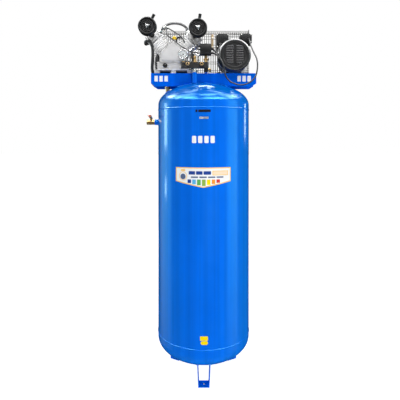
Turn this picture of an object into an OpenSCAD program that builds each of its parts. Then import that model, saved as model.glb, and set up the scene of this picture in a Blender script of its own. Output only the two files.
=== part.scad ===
// Vertical tank compressor: 300 litre receiver on three feet, with a platform
// that carries a belt-driven V-twin pump, its motor, belt guard and controls.
// Millimetres. Origin on the floor on the tank axis; +Z up, front faces -Y.

/* [Tank] */
// Outer radius of the receiver
tank_r = 260; // [256:1:264]
// Plate thickness of shell and heads
tank_wall = 4; // [3:0.5:5]
// Height of the lower girth seam
seam_low = 222; // [216:1:228]
// Height of the upper girth seam
seam_high = 1477; // [1470:1:1484]
// Straight flange of each dished head
head_flange = 28; // [24:1:32]
// Depth of the elliptical part of each head
head_depth = 125; // [122:1:130]

/* [Feet] */
// Radius of the circle through the foot centres
foot_circle_r = 180; // [176:1:188]
// Width of the flat bar that each foot is bent from
foot_bar_w = 58; // [50:1:60]
// Thickness of the foot bar
foot_bar_t = 5; // [4:0.5:6]
// Outside width of each foot at the floor
foot_w = 60; // [56:1:64]
// Anchor hole diameter
anchor_d = 12; // [10:0.5:14]

/* [Platform] */
// Height of the platform's top face
deck_z = 1681; // [1679:1:1683]
// Half length of the platform
deck_half_l = 296; // [294:1:300]
// Half width of the platform
deck_half_w = 70; // [69:1:71]
// Sheet thickness of the platform
deck_t = 4; // [3:0.5:5]
// Depth of the folded skirts
skirt_h = 74; // [70:1:78]

/* [Pump] */
// Crank axis, left of the tank axis
pump_x = -170; // [-172:1:-168]
// Height of the crank axis above the platform
crank_h = 93; // [92:1:94]
// Crank throw, half the stroke
crank_r = 22; // [20:0.5:23]
// Connecting rod length between centres
rod_l = 88; // [87:0.5:88.5]
// Cylinder bore radius
bore_r = 32.5; // [31:0.5:33]
// Fin radius of the cylinders
fin_r = 48; // [45:0.5:49]
// Distance of the air filters from the crank axis
filter_d = 196; // [194:1:198]
// Radius of the air filters
filter_r = 50; // [46:1:52]

/* [Drive] */
// Flywheel radius
fly_r = 125; // [120:1:126]
// Motor pulley radius
pulley_r = 42; // [40:1:44]
// Motor axis, right of the tank axis
motor_x = 169; // [166:1:172]
// Motor axis height above the platform
motor_h = 88; // [87.5:0.5:90]
// Radius of the motor frame over its fins
motor_r = 86; // [84:0.5:86.5]
// Belt plane, behind the tank axis
belt_y = 135; // [134:1:137]

/* [Guard] */
// Pitch of the guard's vertical wires
wire_pitch = 13; // [12:0.5:16]
// Wire radius
wire_r = 1.4; // [1:0.1:1.6]
// Height of the top of the guard
guard_top = 1961; // [1955:1:1965]

/* [Controls] */
// Gauge case radius
gauge_r = 26; // [22:0.5:27]
// Outlet thread bore radius of the two service outlets
service_bore_r = 5.5; // [4.5:0.25:6.5]
// Bore radius of the receiver's outlet valve
outlet_bore_r = 10; // [8:0.5:11]

/* [Hidden] */
$fn = 64;

blue = [0.02, 0.36, 0.93];
deep_blue = [0.02, 0.27, 0.80];
alu = [0.72, 0.73, 0.74];
bell_alu = [0.75, 0.76, 0.77];
steel = [0.60, 0.61, 0.63];
frame_steel = [0.66, 0.67, 0.69];
cylinder_grey = [0.66, 0.67, 0.68];
silver = [0.75, 0.76, 0.78];
black = [0.06, 0.06, 0.065];
label_black = [0.10, 0.11, 0.14];
flywheel_grey = [0.16, 0.16, 0.17];
pipe_grey = [0.22, 0.22, 0.23];
pulley_grey = [0.3, 0.3, 0.31];
brass = [0.78, 0.56, 0.22];
zinc = [0.80, 0.66, 0.34];
yellow = [0.85, 0.68, 0.12];
red = [0.85, 0.20, 0.08];

// flat ends of the heads' flanges, where the dishes begin
head_top = seam_high + head_flange;
head_low = seam_low - head_flange;
crank_z = deck_z + crank_h;
motor_z = deck_z + motor_h;
// running clearance of small fitted parts
fit = 0.05;

// ---- shared helpers ----
// height of a dished head's outer surface over its flange, at a distance from the axis
function dish(from_axis) = head_depth * sqrt(max(0, 1 - pow(from_axis / tank_r, 2)));
function unit(vector) = vector / norm(vector);
function grid(xs, ys) = [for (x = xs, y = ys) [x, y]];

// smooth curve through control points, four-point rule, a number of steps a span
function point_at(path, i) = path[min(max(i, 0), len(path) - 1)];
function span_point(before, from, to, after, t) = 0.5 * (2 * from + (to - before) * t
  + (2 * before - 5 * from + 4 * to - after) * t * t
  + (3 * from - before - 3 * to + after) * t * t * t);
function smooth(path, steps) = concat(
  [for (i = [0 : len(path) - 2], k = [0 : steps - 1])
    span_point(point_at(path, i - 1), path[i], path[i + 1], point_at(path, i + 2), k / steps)],
  [path[len(path) - 1]]);

// round bar along a path of points; up is a direction the path never runs along
module sweep(path, radius, sides = 12, up = [0, 1, 0]) {
  last = len(path) - 1;
  tangents = [for (i = [0 : last]) unit(path[min(i + 1, last)] - path[max(i - 1, 0)])];
  rings = [for (i = [0 : last])
    let (across = unit(cross(tangents[i], up)), over = cross(across, tangents[i]))
    for (k = [0 : sides - 1]) let (turn = 360 * k / sides)
      path[i] + radius * (cos(turn) * across + sin(turn) * over)];
  walls = [for (i = [0 : last - 1], k = [0 : sides - 1]) let (next = (k + 1) % sides)
    [i * sides + k, i * sides + next, (i + 1) * sides + next, (i + 1) * sides + k]];
  start_cap = [for (k = [sides - 1 : -1 : 0]) k];
  end_cap = [for (k = [0 : sides - 1]) last * sides + k];
  polyhedron(points = rings, faces = concat(walls, [start_cap], [end_cap]), convexity = 6);
}
// bar along Y and bar along X
module ybar(radius, from, to)
  translate([0, to, 0]) rotate([90, 0, 0]) cylinder(r = radius, h = to - from);
module xbar(radius, from, to)
  translate([from, 0, 0]) rotate([0, 90, 0]) cylinder(r = radius, h = to - from);
// shape turned about Y from [radius, y] points
module ylathe(profile) rotate([-90, 0, 0]) rotate_extrude() polygon(profile);
// prism along Y from an X-Z outline
module yprism(from, to)
  translate([0, to, 0]) rotate([90, 0, 0]) linear_extrude(to - from) children();
// upright hexagon, sized across its flats
module hexbar(flats, height) cylinder(r = flats / sqrt(3), h = height, $fn = 6);
module at_crank() translate([pump_x, 0, crank_z]) children();
module at_motor() translate([motor_x, 0, motor_z]) children();

// ---- receiver ----
outlet_z = 1409;
socket_r = 17;
// plan position of the check valve's port, and its radius
check_x = -205;
check_y = -30;
port_r = 11;
// riser pipe and the manifold bar it carries
riser_x = -50;
manifold_y = -105;
manifold_z = 1718;

module tank_shell() color(blue) difference() {
  rotate_extrude($fn = 128) translate([tank_r - tank_wall, seam_low])
    square([tank_wall, seam_high - seam_low]);
  translate([0, 0, outlet_z]) xbar(socket_r + 0.06, -tank_r - 5, -tank_r + 20);
}
// dished head from its seam; up is 1 for the top head, -1 for the bottom one
module head_shape(up, seam) rotate_extrude($fn = 128) translate([0, seam]) {
  inner_r = tank_r - tank_wall;
  inner_depth = head_depth - tank_wall;
  polygon(concat(
    [for (a = [0 : 6 : 84]) [tank_r * cos(a), up * (head_flange + head_depth * sin(a))]],
    [[0, up * (head_flange + head_depth)], [0, up * (head_flange + inner_depth)]],
    [for (a = [84 : -6 : 0]) [inner_r * cos(a), up * (head_flange + inner_depth * sin(a))]],
    [[inner_r, 0.05 * up], [tank_r, 0.05 * up]]));
}
module top_head() color(blue) difference() {
  head_shape(1, seam_high);
  translate([check_x, check_y, head_top + 20]) cylinder(r = port_r, h = 90);
  translate([riser_x, manifold_y, head_top + 60]) cylinder(r = 10, h = 90);
}
module bottom_head() color(blue) difference() {
  head_shape(-1, seam_low);
  translate([0, 0, drain_z - 10]) cylinder(r = drain_r + fit, h = 40);
}

// ---- feet: flat bar bent to a stirrup, arms cut to the dish of the lower head ----
foot_inner = foot_circle_r - foot_bar_w / 2;
foot_outer = foot_circle_r + foot_bar_w / 2;
foot_lean = 2.6;

module foot_arm(side) {
  dish_x = foot_w / 2 + 1;
  dish_gap = 0.6;
  top = [for (k = [8 : -1 : 0]) let (y = foot_inner + (foot_outer - foot_inner) * k / 8)
    [y, head_low - dish(sqrt(y * y + dish_x * dish_x)) - dish_gap]];
  translate([side * (foot_w / 2), 0, 0]) rotate([0, side * foot_lean, 0])
    translate([side > 0 ? -foot_bar_t : 0, 0, 0]) rotate([90, 0, 90])
      linear_extrude(foot_bar_t)
        polygon(concat([[foot_inner, foot_bar_t / 2], [foot_outer, foot_bar_t / 2]], top));
}
module foot(turn) color(blue) rotate([0, 0, turn]) difference() {
  union() {
    translate([-foot_w / 2, foot_inner, 0]) cube([foot_w, foot_bar_w, foot_bar_t]);
    foot_arm(1);
    foot_arm(-1);
  }
  translate([0, foot_circle_r, -1]) cylinder(r = anchor_d / 2, h = foot_bar_t + 2);
}
module front_leg() foot(180);
module left_leg() foot(60);
module right_leg() foot(-60);

// ---- platform ----
// bolt places, [x, y] from the pump and motor axes
pump_bolts = grid([-97.5, 97.5], [-50, 46]);
motor_bolts = grid([-62, 62], [-48, 48]);
pump_hole_r = 5.5;
motor_hole_r = 4.5;
// round end of the slot that opens through the platform's left end
slot_x = -286;
slot_l = 24;

// folded side with its lower edge cut to clear the top head
module skirt(front) {
  bottom = deck_z - skirt_h;
  inner_y = deck_half_w - deck_t;
  gap = 0.4;
  cut_x = tank_r
    * sqrt(1 - pow((bottom - head_top - gap) / head_depth, 2) - pow(inner_y / tank_r, 2));
  translate([0, front + deck_t, 0]) rotate([90, 0, 0]) linear_extrude(deck_t) polygon(concat(
    [[-deck_half_l, deck_z], [-deck_half_l, bottom + 16], [-deck_half_l + 25, bottom]],
    [for (k = [-12 : 12]) let (x = cut_x * k / 12)
      [x, max(bottom, head_top + dish(sqrt(x * x + inner_y * inner_y)) + gap)]],
    [[deck_half_l - 25, bottom], [deck_half_l, bottom + 16], [deck_half_l, deck_z]]));
}
module platform() color(deep_blue) difference() {
  union() {
    translate([-deck_half_l, -deck_half_w, deck_z - deck_t])
      cube([2 * deck_half_l, 2 * deck_half_w, deck_t]);
    skirt(-deck_half_w);
    skirt(deck_half_w - deck_t);
  }
  for (at = pump_bolts)
    translate([pump_x + at[0], at[1], deck_z - 10]) cylinder(r = pump_hole_r, h = 20);
  for (at = motor_bolts)
    translate([motor_x + at[0], at[1], deck_z - 10]) cylinder(r = motor_hole_r, h = 20);
  translate([slot_x, check_y, deck_z - 10]) cylinder(r = port_r, h = 20);
  translate([slot_x - slot_l, check_y - port_r, deck_z - 10]) cube([slot_l, 2 * port_r, 20]);
}

// ---- receiver fittings ----
ball_x = -303;
ball_r = 12;
stem_r = 4;
lever_half_w = 7;

module at_ball() translate([ball_x, 0, outlet_z]) children();
module outlet_socket() color(blue) translate([0, 0, outlet_z]) difference() {
  xbar(socket_r, -281, -248);
  xbar(13 + fit, -290, -262);
  xbar(10, -265, -240);
}
module outlet_valve_body() color(brass) translate([0, 0, outlet_z]) difference() {
  union() {
    xbar(13, -282, -266);
    translate([-289, 0, 0]) rotate([0, 90, 0]) hexbar(30, 7.9);
    xbar(14.5, -318, -288);
    translate([-327, 0, 0]) rotate([0, 90, 0]) hexbar(30, 10);
    translate([ball_x, 0, 8]) cylinder(r = 8, h = 13);
  }
  xbar(outlet_bore_r, -330, -316);
  xbar(7, -317, -260);
  translate([ball_x, 0, 0]) sphere(r = ball_r + fit);
  translate([ball_x, 0, 0]) cylinder(r = stem_r + fit, h = 30);
}
// ball and stem, turned shut: its bore lies along Y
module outlet_ball() color(steel) at_ball() difference() {
  union() {
    sphere(r = ball_r);
    cylinder(r = stem_r, h = 29.5);
  }
  rotate([90, 0, 0]) cylinder(r = 6.8, h = 40, center = true);
}
// cranked flat bar pointing to the front, with its nut
module outlet_lever() color(steel) at_ball() {
  lever_w = 2 * lever_half_w;
  difference() {
    union() {
      translate([0, 0, 22]) cylinder(r = 9, h = 3);
      translate([-lever_half_w, -34, 22]) cube([lever_w, 34, 3]);
      translate([-lever_half_w, -37, 22]) cube([lever_w, 3, 12]);
      translate([-lever_half_w, -98, 31]) cube([lever_w, 64, 3]);
    }
    translate([0, 0, 20]) cylinder(r = stem_r + fit, h = 10);
  }
  translate([0, 0, 25 + fit]) difference() {
    hexbar(11, 4.5);
    translate([0, 0, -1]) cylinder(r = stem_r + fit, h = 8);
  }
}
module lever_grip() color(red) at_ball() difference() {
  translate([0, -100, 28.5]) rotate([-90, 0, 0]) linear_extrude(56)
    polygon([[-9, -6], [-6, -8], [6, -8], [9, -6], [9, 1], [6, 3], [-6, 3], [-9, 1]]);
  translate([-lever_half_w - fit, -98 - fit, 31 - fit])
    cube([2 * (lever_half_w + fit), 80, 3 + 2 * fit]);
}
// lowest point of the bottom head, and the drain cock's parts below it
drain_z = head_low - head_depth;
drain_r = 10;
tap_z = drain_z - 19;
tap_r = 4;

module drain_cock_body() color(brass) difference() {
  union() {
    translate([0, 0, drain_z - 14]) cylinder(r = drain_r, h = 26);
    translate([0, 0, drain_z - 24]) hexbar(24, 10.1);
    translate([0, 0, drain_z - 36]) cylinder(r = 6, h = 13);
  }
  translate([0, 0, drain_z - 40]) cylinder(r = 3, h = 60);
  translate([0, 0, tap_z]) ybar(tap_r + fit, -20, 8);
}
module drain_cock_tap() color(brass) translate([0, 0, tap_z]) difference() {
  union() {
    ybar(tap_r, -22, 7);
    translate([-16, -25, -3]) cube([32, 3.2, 6]);
  }
  cylinder(r = 2.5, h = 20, center = true);
}
// plate bent round the shell; angles run from the front towards +X
module arc_plate(from, to, z, height, thick) rotate([0, 0, from - 90])
  rotate_extrude(angle = to - from)
    translate([tank_r + 0.06, z - height / 2]) square([thick, height]);
// a short and a long strip, and a plate below them
module data_plates() {
  for (span = [[-9.7, -7.4], [-6.4, 7.7]])
    color(label_black) arc_plate(span[0], span[1], z = 1457, height = 13, thick = 0.6);
  color(silver) arc_plate(-5.1, 5.1, z = 1421.5, height = 11, thick = 0.8);
}

// ---- pump ----
shaft_r = 15;
bearing_r = 31;
wrist_pin_r = 7;
crank_pin_r = 11;
filler_r = 8;
glass_r = 9;
// sight glass, from the crank axis
glass_x = -44;
glass_z = -54;
// rods stand with the crank pin straight above the shaft, so in each bank's
// tilted frame the pin is this far out and this far across
pin_up = crank_r * sqrt(0.5);
rod_tilt = asin(pin_up / rod_l);
wrist_d = pin_up + rod_l * cos(rod_tilt);

// side is -1 for the left bank and 1 for the right; the right one sits further back
function bank_y(side) = side < 0 ? -22 : 2;
// frame of a cylinder bank: local Z runs out along the cylinder axis
module bank_at(side, y)
  translate([pump_x, y, crank_z]) rotate([0, side * 45, 0]) children();
module bank(side) bank_at(side, bank_y(side)) children();

// front view of the crankcase, drawn in by an inset
module case_outline(inset) polygon([[-75 + inset, -34 + inset], [75 - inset, -34 + inset],
  [75 - inset, 16 - 0.41 * inset], [9 - 0.41 * inset, 82 - inset],
  [-9 + 0.41 * inset, 82 - inset], [-75 + inset, 16 - 0.41 * inset]]);
module crankcase() color(alu) at_crank() difference() {
  union() {
    yprism(-85, 65) case_outline(0);
    translate([-88, -85, -77]) cube([176, 150, 45]);
    // ribs round the sump
    for (z = [-38, -50, -61]) translate([-91, -88, z]) cube([182, 156, 3.5]);
    // feet and the block between them
    for (x = [-108, 78]) translate([x, -66, -crank_h]) cube([30, 128, 18]);
    translate([-14, -70, -crank_h]) cube([28, 132, 18]);
    ybar(42, 60, 95);
  }
  // hollow, leaving the bearing boss standing inside
  difference() {
    union() {
      yprism(-90, 57) case_outline(7);
      translate([-81, -77, -70]) cube([162, 134, 32]);
      translate([-68, -77, -45]) cube([136, 134, 25]);
    }
    ybar(40, 28, 70);
  }
  ybar(bearing_r, 40, 100);
  ybar(26, 20, 60);
  for (side = [-1, 1]) translate([0, bank_y(side), 0]) rotate([0, side * 45, 0])
    translate([0, 0, 38]) cylinder(r = 38, h = 40);
  for (at = pump_bolts) translate([at[0], at[1], -100]) cylinder(r = pump_hole_r, h = 40);
  translate([glass_x, 0, glass_z]) ybar(glass_r + fit, -95, -70);
  translate([0, 0, 70]) cylinder(r = filler_r + fit, h = 20);
}
module front_cover() color(alu) at_crank() union() {
  yprism(-93, -85 - fit) case_outline(0);
  yprism(-99, -93) case_outline(6);
  yprism(-85 - fit, -81) difference() {
    case_outline(7.2);
    case_outline(11);
  }
}
module sight_glass() color(black) at_crank() translate([glass_x, 0, glass_z]) {
  ylathe([[0, -99], [5, -99], [6.5, -97.5], [12.6, -97.5], [12.6, -91.1], [0, -91.1]]);
  ybar(glass_r, -91.1, -78);
}
// [radius, height above the crank axis]
filler_profile = [[0, 74], [filler_r, 74], [filler_r, 82.1], [9.5, 82.1], [9.5, 86], [7.5, 88],
  [7.5, 111], [12, 112], [12, 126], [10.5, 128], [7, 128], [7, 133], [0, 133]];
module filler_cap() color(yellow) at_crank() rotate_extrude() polygon(filler_profile);
// shaft and a single web with its counterweight below
module crankshaft() color(steel) at_crank() difference() {
  union() {
    ybar(shaft_r, 20, 158);
    yprism(12, 24) union() {
      circle(r = 27);
      translate([0, crank_r]) circle(r = 15);
      difference() {
        circle(r = 46);
        translate([-60, -16]) square([120, 80]);
      }
    }
  }
  ybar(3, 140, 170);
}
// two bearings with recessed faces, and the shaft seal behind them
module crank_bearings() at_crank() {
  inner = shaft_r + 0.04;
  outer = bearing_r - 0.04;
  for (y = [42, 74]) color(steel) ylathe([[inner, y], [20, y], [20, y + 1], [26, y + 1],
    [26, y], [outer, y], [outer, y + 16], [26, y + 16], [26, y + 15], [20, y + 15],
    [20, y + 16], [inner, y + 16]]);
  color(black) ylathe([[shaft_r + fit, 91], [bearing_r - fit, 91], [bearing_r - fit, 94.5],
    [17, 94.5], [17, 93], [shaft_r + fit, 93]]);
}
module rod(side) color(alu) bank(side) difference() {
  union() {
    translate([0, 0, wrist_d]) ybar(11.5, -9, 9);
    translate([-side * pin_up, 0, pin_up]) ybar(18, -7, 7);
    translate([-side * pin_up, 0, pin_up]) rotate([0, side * rod_tilt, 0])
      translate([-7, -4, 8]) cube([14, 8, rod_l - 12]);
  }
  translate([0, 0, wrist_d]) ybar(wrist_pin_r + 0.03, -20, 20);
  translate([-side * pin_up, 0, pin_up]) ybar(crank_pin_r + 0.03, -20, 20);
}
module left_rod() rod(-1);
module right_rod() rod(1);
// piston with two rings; profile is [radius, distance out from the wrist pin]
module piston(side) {
  land_r = bore_r - 0.3;
  ring_r = bore_r - 0.05;
  skirt_r = bore_r - 0.1;
  inner_r = bore_r - 5;
  color(steel) bank(side) translate([0, 0, wrist_d]) difference() {
    rotate_extrude() polygon(concat([[0, 20], [land_r, 20]],
      [for (z = [18, 13.5], step = [[land_r, 0], [ring_r, 0], [ring_r, -2.5], [land_r, -2.5]])
        [step[0], z + step[1]]],
      [[skirt_r, 9], [skirt_r, -16], [inner_r, -16], [inner_r, 14], [0, 14]]));
    ybar(wrist_pin_r + 0.03, -60, 60);
  }
}
module left_piston() piston(-1);
module right_piston() piston(1);
// wrist pin in the piston, and this bank's half of the split crank pin
module pins(side) color(steel) bank(side) {
  translate([0, 0, wrist_d]) ybar(wrist_pin_r, -28, 28);
  translate([-side * pin_up, 0, pin_up]) ybar(crank_pin_r, -10, 9.4);
}
module left_pins() pins(-1);
module right_pins() pins(1);

// [radius, distance from the crank axis]: spigot and base flange, four fins, top flange
barrel_r = 39;
fin_outline = [[barrel_r, 0], [fin_r - 0.8, 1], [fin_r, 2], [fin_r, 4.5], [fin_r - 0.8, 5.5],
  [barrel_r, 6.5]];
barrel_profile = concat(
  [[bore_r, 52], [37.9, 52], [37.9, 64.5], [50, 64.5], [50, 71], [barrel_r, 71]],
  [for (k = [0 : 3], step = fin_outline) [step[0], 75 + 12.5 * k + step[1]]],
  [[barrel_r, 124], [47, 124], [47, 131], [bore_r, 131]]);
module cylinder_barrel(side)
  color(cylinder_grey) bank(side) rotate_extrude() polygon(barrel_profile);
module left_cylinder() cylinder_barrel(-1);
module right_cylinder() cylinder_barrel(1);

head_bolts = grid([-37, 37], [-37, 37]);
head_hole_r = 4.1;
// axis of the head's intake boss, out from the crank axis
intake_d = 168;

module valve_plates() color(steel) for (side = [-1, 1]) bank(side) difference() {
  translate([-45, -45, 131 + fit]) cube([90, 90, 5.9]);
  for (x = [-14, 14]) translate([x, 0, 130]) cylinder(r = 6, h = 8);
  for (at = head_bolts) translate([at[0], at[1], 130]) cylinder(r = head_hole_r, h = 10);
}
module head(side) color(alu) bank(side) difference() {
  union() {
    translate([-45, -45, 137]) cube([90, 90, 12]);
    translate([-38, -40, 148]) cube([76, 80, 32]);
    // fins
    for (k = [-3 : 3]) translate([k * 11 - 1.5, -42, 179]) cube([3, 84, 17]);
    // intake boss in front, and a boss on each side
    translate([0, 0, intake_d]) ybar(15, -46, -30);
    translate([-side * 37, 0, 165]) xbar(13, -7, 7);
    translate([side * 37, 0, 168]) xbar(10.5, -7, 7);
  }
  // two chambers
  for (x = [-19, 19]) translate([x - 14, -32, 136]) cube([28, 64, 38]);
  translate([0, 0, intake_d]) ybar(10, -60, -30);
  translate([side * 24, 0, 168]) xbar(6, -24, 24);
  for (at = head_bolts) translate([at[0], at[1], 130]) {
    cylinder(r = head_hole_r, h = 60);
    translate([0, 0, 19]) cylinder(r = 9, h = 60);
  }
}
module left_head() head(-1);
module right_head() head(1);

// [radius, y]: ribbed front face, grooved rim, then the hollow inside
can_profile = [[0, -161], [10, -161], [10, -167], [14, -167], [14, -163], [20, -163],
  [20, -166], [23, -166], [23, -163], [29, -163], [29, -166], [32, -166], [32, -163],
  [38, -163], [38, -168], [43, -170], [48, -168], [filter_r, -164], [filter_r, -152],
  [filter_r - 3, -150], [filter_r - 3, -147], [filter_r, -145], [filter_r, -132],
  [filter_r - 6, -128], [0, -128], [0, -131], [filter_r - 8, -131], [filter_r - 6, -133],
  [filter_r - 6, -158], [0, -158]];
// air filter: ribbed round can on an eccentric neck, with a short inlet spout
// spout_tilt is from upright; can_x and can_rise shift the can in the bank's frame
module filter(side, spout_tilt, spout_l, can_x, can_rise) {
  module at_can() translate([can_x, 0, filter_d + can_rise]) children();
  module at_spout(out) at_can() rotate([0, spout_tilt - side * 45, 0])
    translate([0, -140, out]) children();
  color(black) bank_at(side, 0) union() {
    difference() {
      at_can() ylathe(can_profile);
      at_spout(30) cylinder(r = 6.5, h = 30);
    }
    difference() {
      translate([0, 0, intake_d]) ybar(12, -129, bank_y(side) - 46.1);
      translate([0, 0, intake_d]) ybar(8, -140, bank_y(side) - 40);
    }
    at_spout(filter_r - 4) difference() {
      cylinder(r = 9, h = spout_l);
      translate([0, 0, -1]) cylinder(r = 6.5, h = spout_l + 2);
    }
  }
}
module left_filter() filter(-1, spout_tilt = 27, spout_l = 31, can_x = 8.5, can_rise = 4);
module right_filter() filter(1, spout_tilt = 8.5, spout_l = 34, can_x = 0, can_rise = 0);

// hexagon screws of pump, motor and heads, and nuts below the platform
module screw(radius, length, flats) {
  cylinder(r = radius, h = length);
  translate([0, 0, length]) hexbar(flats, radius * 1.3);
}
// x and y are a bolt's place; above is the height of its head over the platform
module deck_bolt(x, y, radius, above, flats) {
  below = 14;
  translate([x, y, deck_z - below]) {
    screw(radius, below + above, flats);
    hexbar(flats, 9.9);
  }
}
module machine_bolts() color(zinc) {
  for (at = pump_bolts) deck_bolt(pump_x + at[0], at[1], radius = 5, above = 18.05, flats = 16);
  for (at = motor_bolts) deck_bolt(motor_x + at[0], at[1], radius = 4, above = 6.05, flats = 13);
  for (side = [-1, 1], at = head_bolts)
    bank(side) translate([at[0], at[1], 131.2]) screw(4, 17.85, 12);
}

// ---- pipes: paths are [x, y, z] control points ----
pipe_r = 8.5;
tube_r = 3;
// from the left head over to the right head
arch_path = [[-254.9, -22, 1922.5], [-246.5, -22, 1930.9], [-234, -21, 1949],
  [-212, -19, 1966.5], [-185, -15, 1976], [-158, -10, 1978.5], [-131, -5, 1975],
  [-110, 0, 1966], [-97, 2, 1953], [-95.5, 2, 1938], [-90.6, 2, 1928.2], [-85.1, 2, 1922.6]];
// from the left head down through the platform's slot to the check valve
discharge_path = [[-320.6, -22, 1861], [-324.1, -22, 1857.5], [-326.9, -23.5, 1855],
  [-329.2, -29, 1853.4], [-330.2, -38, 1855], [-328.5, -51, 1859], [-322.5, -66, 1862.5],
  [-311, -77.5, 1862.5], [-297.5, -83.5, 1854], [-288.5, -84.5, 1837], [-285, -82, 1812],
  [-284.5, -79, 1780], [-287, -73, 1745], [-290, -60, 1718], [-291, -45, 1701],
  [-289.5, -34.5, 1688], [-287.5, -30.5, 1676], [-284, -30, 1665], [-274, -30, 1657],
  [-250, -30, 1651], [-222, -30, 1650], [-208, -30, 1644], [-205, -30, 1636],
  [-205, -30, 1629]];
short_tube_path = [[-206, -85, 1933], [-176, -92, 1915], [-145, -96, 1895], [-124, -92, 1878],
  [-110, -90, 1868]];
long_tube_path = [[-212, -85, 1938], [-206, -96, 1915], [-203, -104, 1889],
  [-170, -107, 1860], [-130, -110, 1828], [-95, -114, 1804], [-60, -118, 1789],
  [-37, -120, 1785], [-22.5, -120, 1786]];

module arch_pipe() color(alu) sweep(smooth(arch_path, 3), pipe_r);
module check_valve() color(brass) translate([check_x, check_y, head_top]) {
  translate([0, 0, 65]) cylinder(r = port_r - 0.1, h = 28);
  translate([0, 0, 92]) hexbar(27, 12);
  translate([0, 0, 103]) cylinder(r = 11, h = 12);
  translate([0, 0, 114]) hexbar(24, 9);
}
module discharge_pipe() color(pipe_grey)
  sweep(smooth(discharge_path, 2), pipe_r, up = [-0.6, 0.6, -0.5]);
module unloader_tubes() color(black)
  for (path = [short_tube_path, long_tube_path]) sweep(smooth(path, 4), tube_r);

// ---- belt drive ----
fly_pitch = fly_r - 6;
pulley_pitch = pulley_r - 6;
motor_shaft_r = 14;

// belt groove in a rim, [radius, y]
function groove(rim_r) = [[rim_r, belt_y - 8.5], [rim_r - 14, belt_y - 5],
  [rim_r - 14, belt_y + 5], [rim_r, belt_y + 8.5]];
module flywheel() color(flywheel_grey) at_crank() difference() {
  union() {
    ylathe(concat([[fly_r - 24, belt_y - 17], [fly_r - 14, belt_y - 19],
      [fly_r - 2, belt_y - 19], [fly_r, belt_y - 17]], groove(fly_r),
      [[fly_r, belt_y + 17], [fly_r - 2, belt_y + 19], [fly_r - 14, belt_y + 19],
      [fly_r - 24, belt_y + 17]]));
    difference() {
      ybar(26, belt_y - 22, belt_y + 19);
      ybar(shaft_r + 0.03, 100, 160);
    }
    // six pitched spokes
    for (k = [0 : 5]) rotate([0, 60 * k, 0]) translate([18, belt_y - 1, 0])
      rotate([24, 0, 0]) translate([0, -4, -15]) cube([fly_r - 36, 8, 30]);
  }
  ybar(shaft_r + 0.03, 100, 160);
}
// straight-sided outline round both sheaves, a distance out from their pitch circles
function wrap(out) = let (run = motor_x - pump_x, rise = motor_z - crank_z,
  centres = sqrt(run * run + rise * rise), slope = atan2(rise, run),
  contact = acos((fly_pitch - pulley_pitch) / centres))
  concat(
    [for (k = [0 : 40]) let (a = slope + contact + (360 - 2 * contact) * k / 40)
      [(fly_pitch + out) * cos(a), (fly_pitch + out) * sin(a)]],
    [for (k = [0 : 20]) let (a = slope - contact + 2 * contact * k / 20)
      [run + (pulley_pitch + out) * cos(a), rise + (pulley_pitch + out) * sin(a)]]);
module v_belt() color(black) at_crank() yprism(belt_y - 5.5, belt_y + 5.5) difference() {
  polygon(wrap(4.5));
  polygon(wrap(-3.5));
}
module motor_pulley() color(pulley_grey) at_motor() ylathe(concat(
  [[motor_shaft_r + 0.03, belt_y - 19], [24, belt_y - 19], [24, belt_y - 15],
  [pulley_r - 2, belt_y - 15], [pulley_r, belt_y - 13]], groove(pulley_r),
  [[pulley_r, belt_y + 13], [pulley_r - 2, belt_y + 15], [motor_shaft_r + 0.03, belt_y + 15]]));

// ---- motor: the fan is at the front, the drive end at the back ----
cowl_r = motor_r + 1;
bell_r = motor_r - 0.5;
// [radius, y] profiles of the turned parts
rotor_profile = [[0, -118], [9.9, -118], [9.9, -73], [12, -73], [12, -50], [55, -50],
  [55, 50], [17, 50], [17, 62], [motor_shaft_r, 62], [motor_shaft_r, 149], [0, 149]];
fan_end_profile = [[12.03, -76], [30, -76], [34, -70], [66, -70], [70, -74], [cowl_r, -74],
  [cowl_r, -62.05], [67.9, -62.05], [67.9, -56], [60, -56], [60, -64], [12.03, -64]];
drive_end_profile = [[17.03, 56], [60, 56], [67.9, 54], [67.9, 62.05], [bell_r, 62.05],
  [bell_r, 72], [60, 80], [34, 86], [22, 86], [22, 80], [17.03, 80]];
cowl_profile = [[0, -148], [62, -148], [66, -150], [80, -150], [cowl_r, -143],
  [cowl_r, -74.1], [cowl_r - 3, -74.1], [cowl_r - 3, -141], [78, -146], [0, -144]];

module motor_body() color(alu) at_motor() difference() {
  union() {
    ybar(77, -62, 62);
    // cooling fins
    for (k = [0 : 35]) rotate([0, 10 * k + 5, 0])
      translate([70, -60, -1.4]) cube([motor_r - 70.5, 120, 2.8]);
    // foot flanges and the webs above them
    for (s = [-1, 1]) translate([s * 62 - 13, -60, -motor_h]) cube([26, 120, 6]);
    for (s = [-1, 1]) translate([s * 48 - 5, -60, -motor_h]) cube([10, 120, 40]);
  }
  ybar(68, -70, 70);
  for (at = motor_bolts) translate([at[0], at[1], -100]) {
    cylinder(r = motor_hole_r, h = 40);
    translate([0, 0, 18.1]) cylinder(r = 9, h = 8);
  }
}
module motor_rotor() at_motor() color(steel) ylathe(rotor_profile);
module motor_end_bells() color(bell_alu) at_motor() {
  ylathe(fan_end_profile);
  ylathe(drive_end_profile);
}
module fan_cowl() color(black) at_motor() difference() {
  ylathe(cowl_profile);
  // two columns of slots
  for (s = [-1, 1], k = [-5 : 5])
    translate([s * 27 - 19, -155, k * 9.4 - 2]) cube([38, 12, 4]);
}
module motor_fan() color(black) at_motor() union() {
  difference() {
    union() {
      ybar(20, -112, -84);
      ybar(72, -88, -85);
    }
    ybar(10.03, -130, -80);
  }
  for (k = [0 : 6]) rotate([0, 360 / 7 * k, 0]) translate([19, -112, -1.5]) cube([52, 26, 3]);
}
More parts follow.
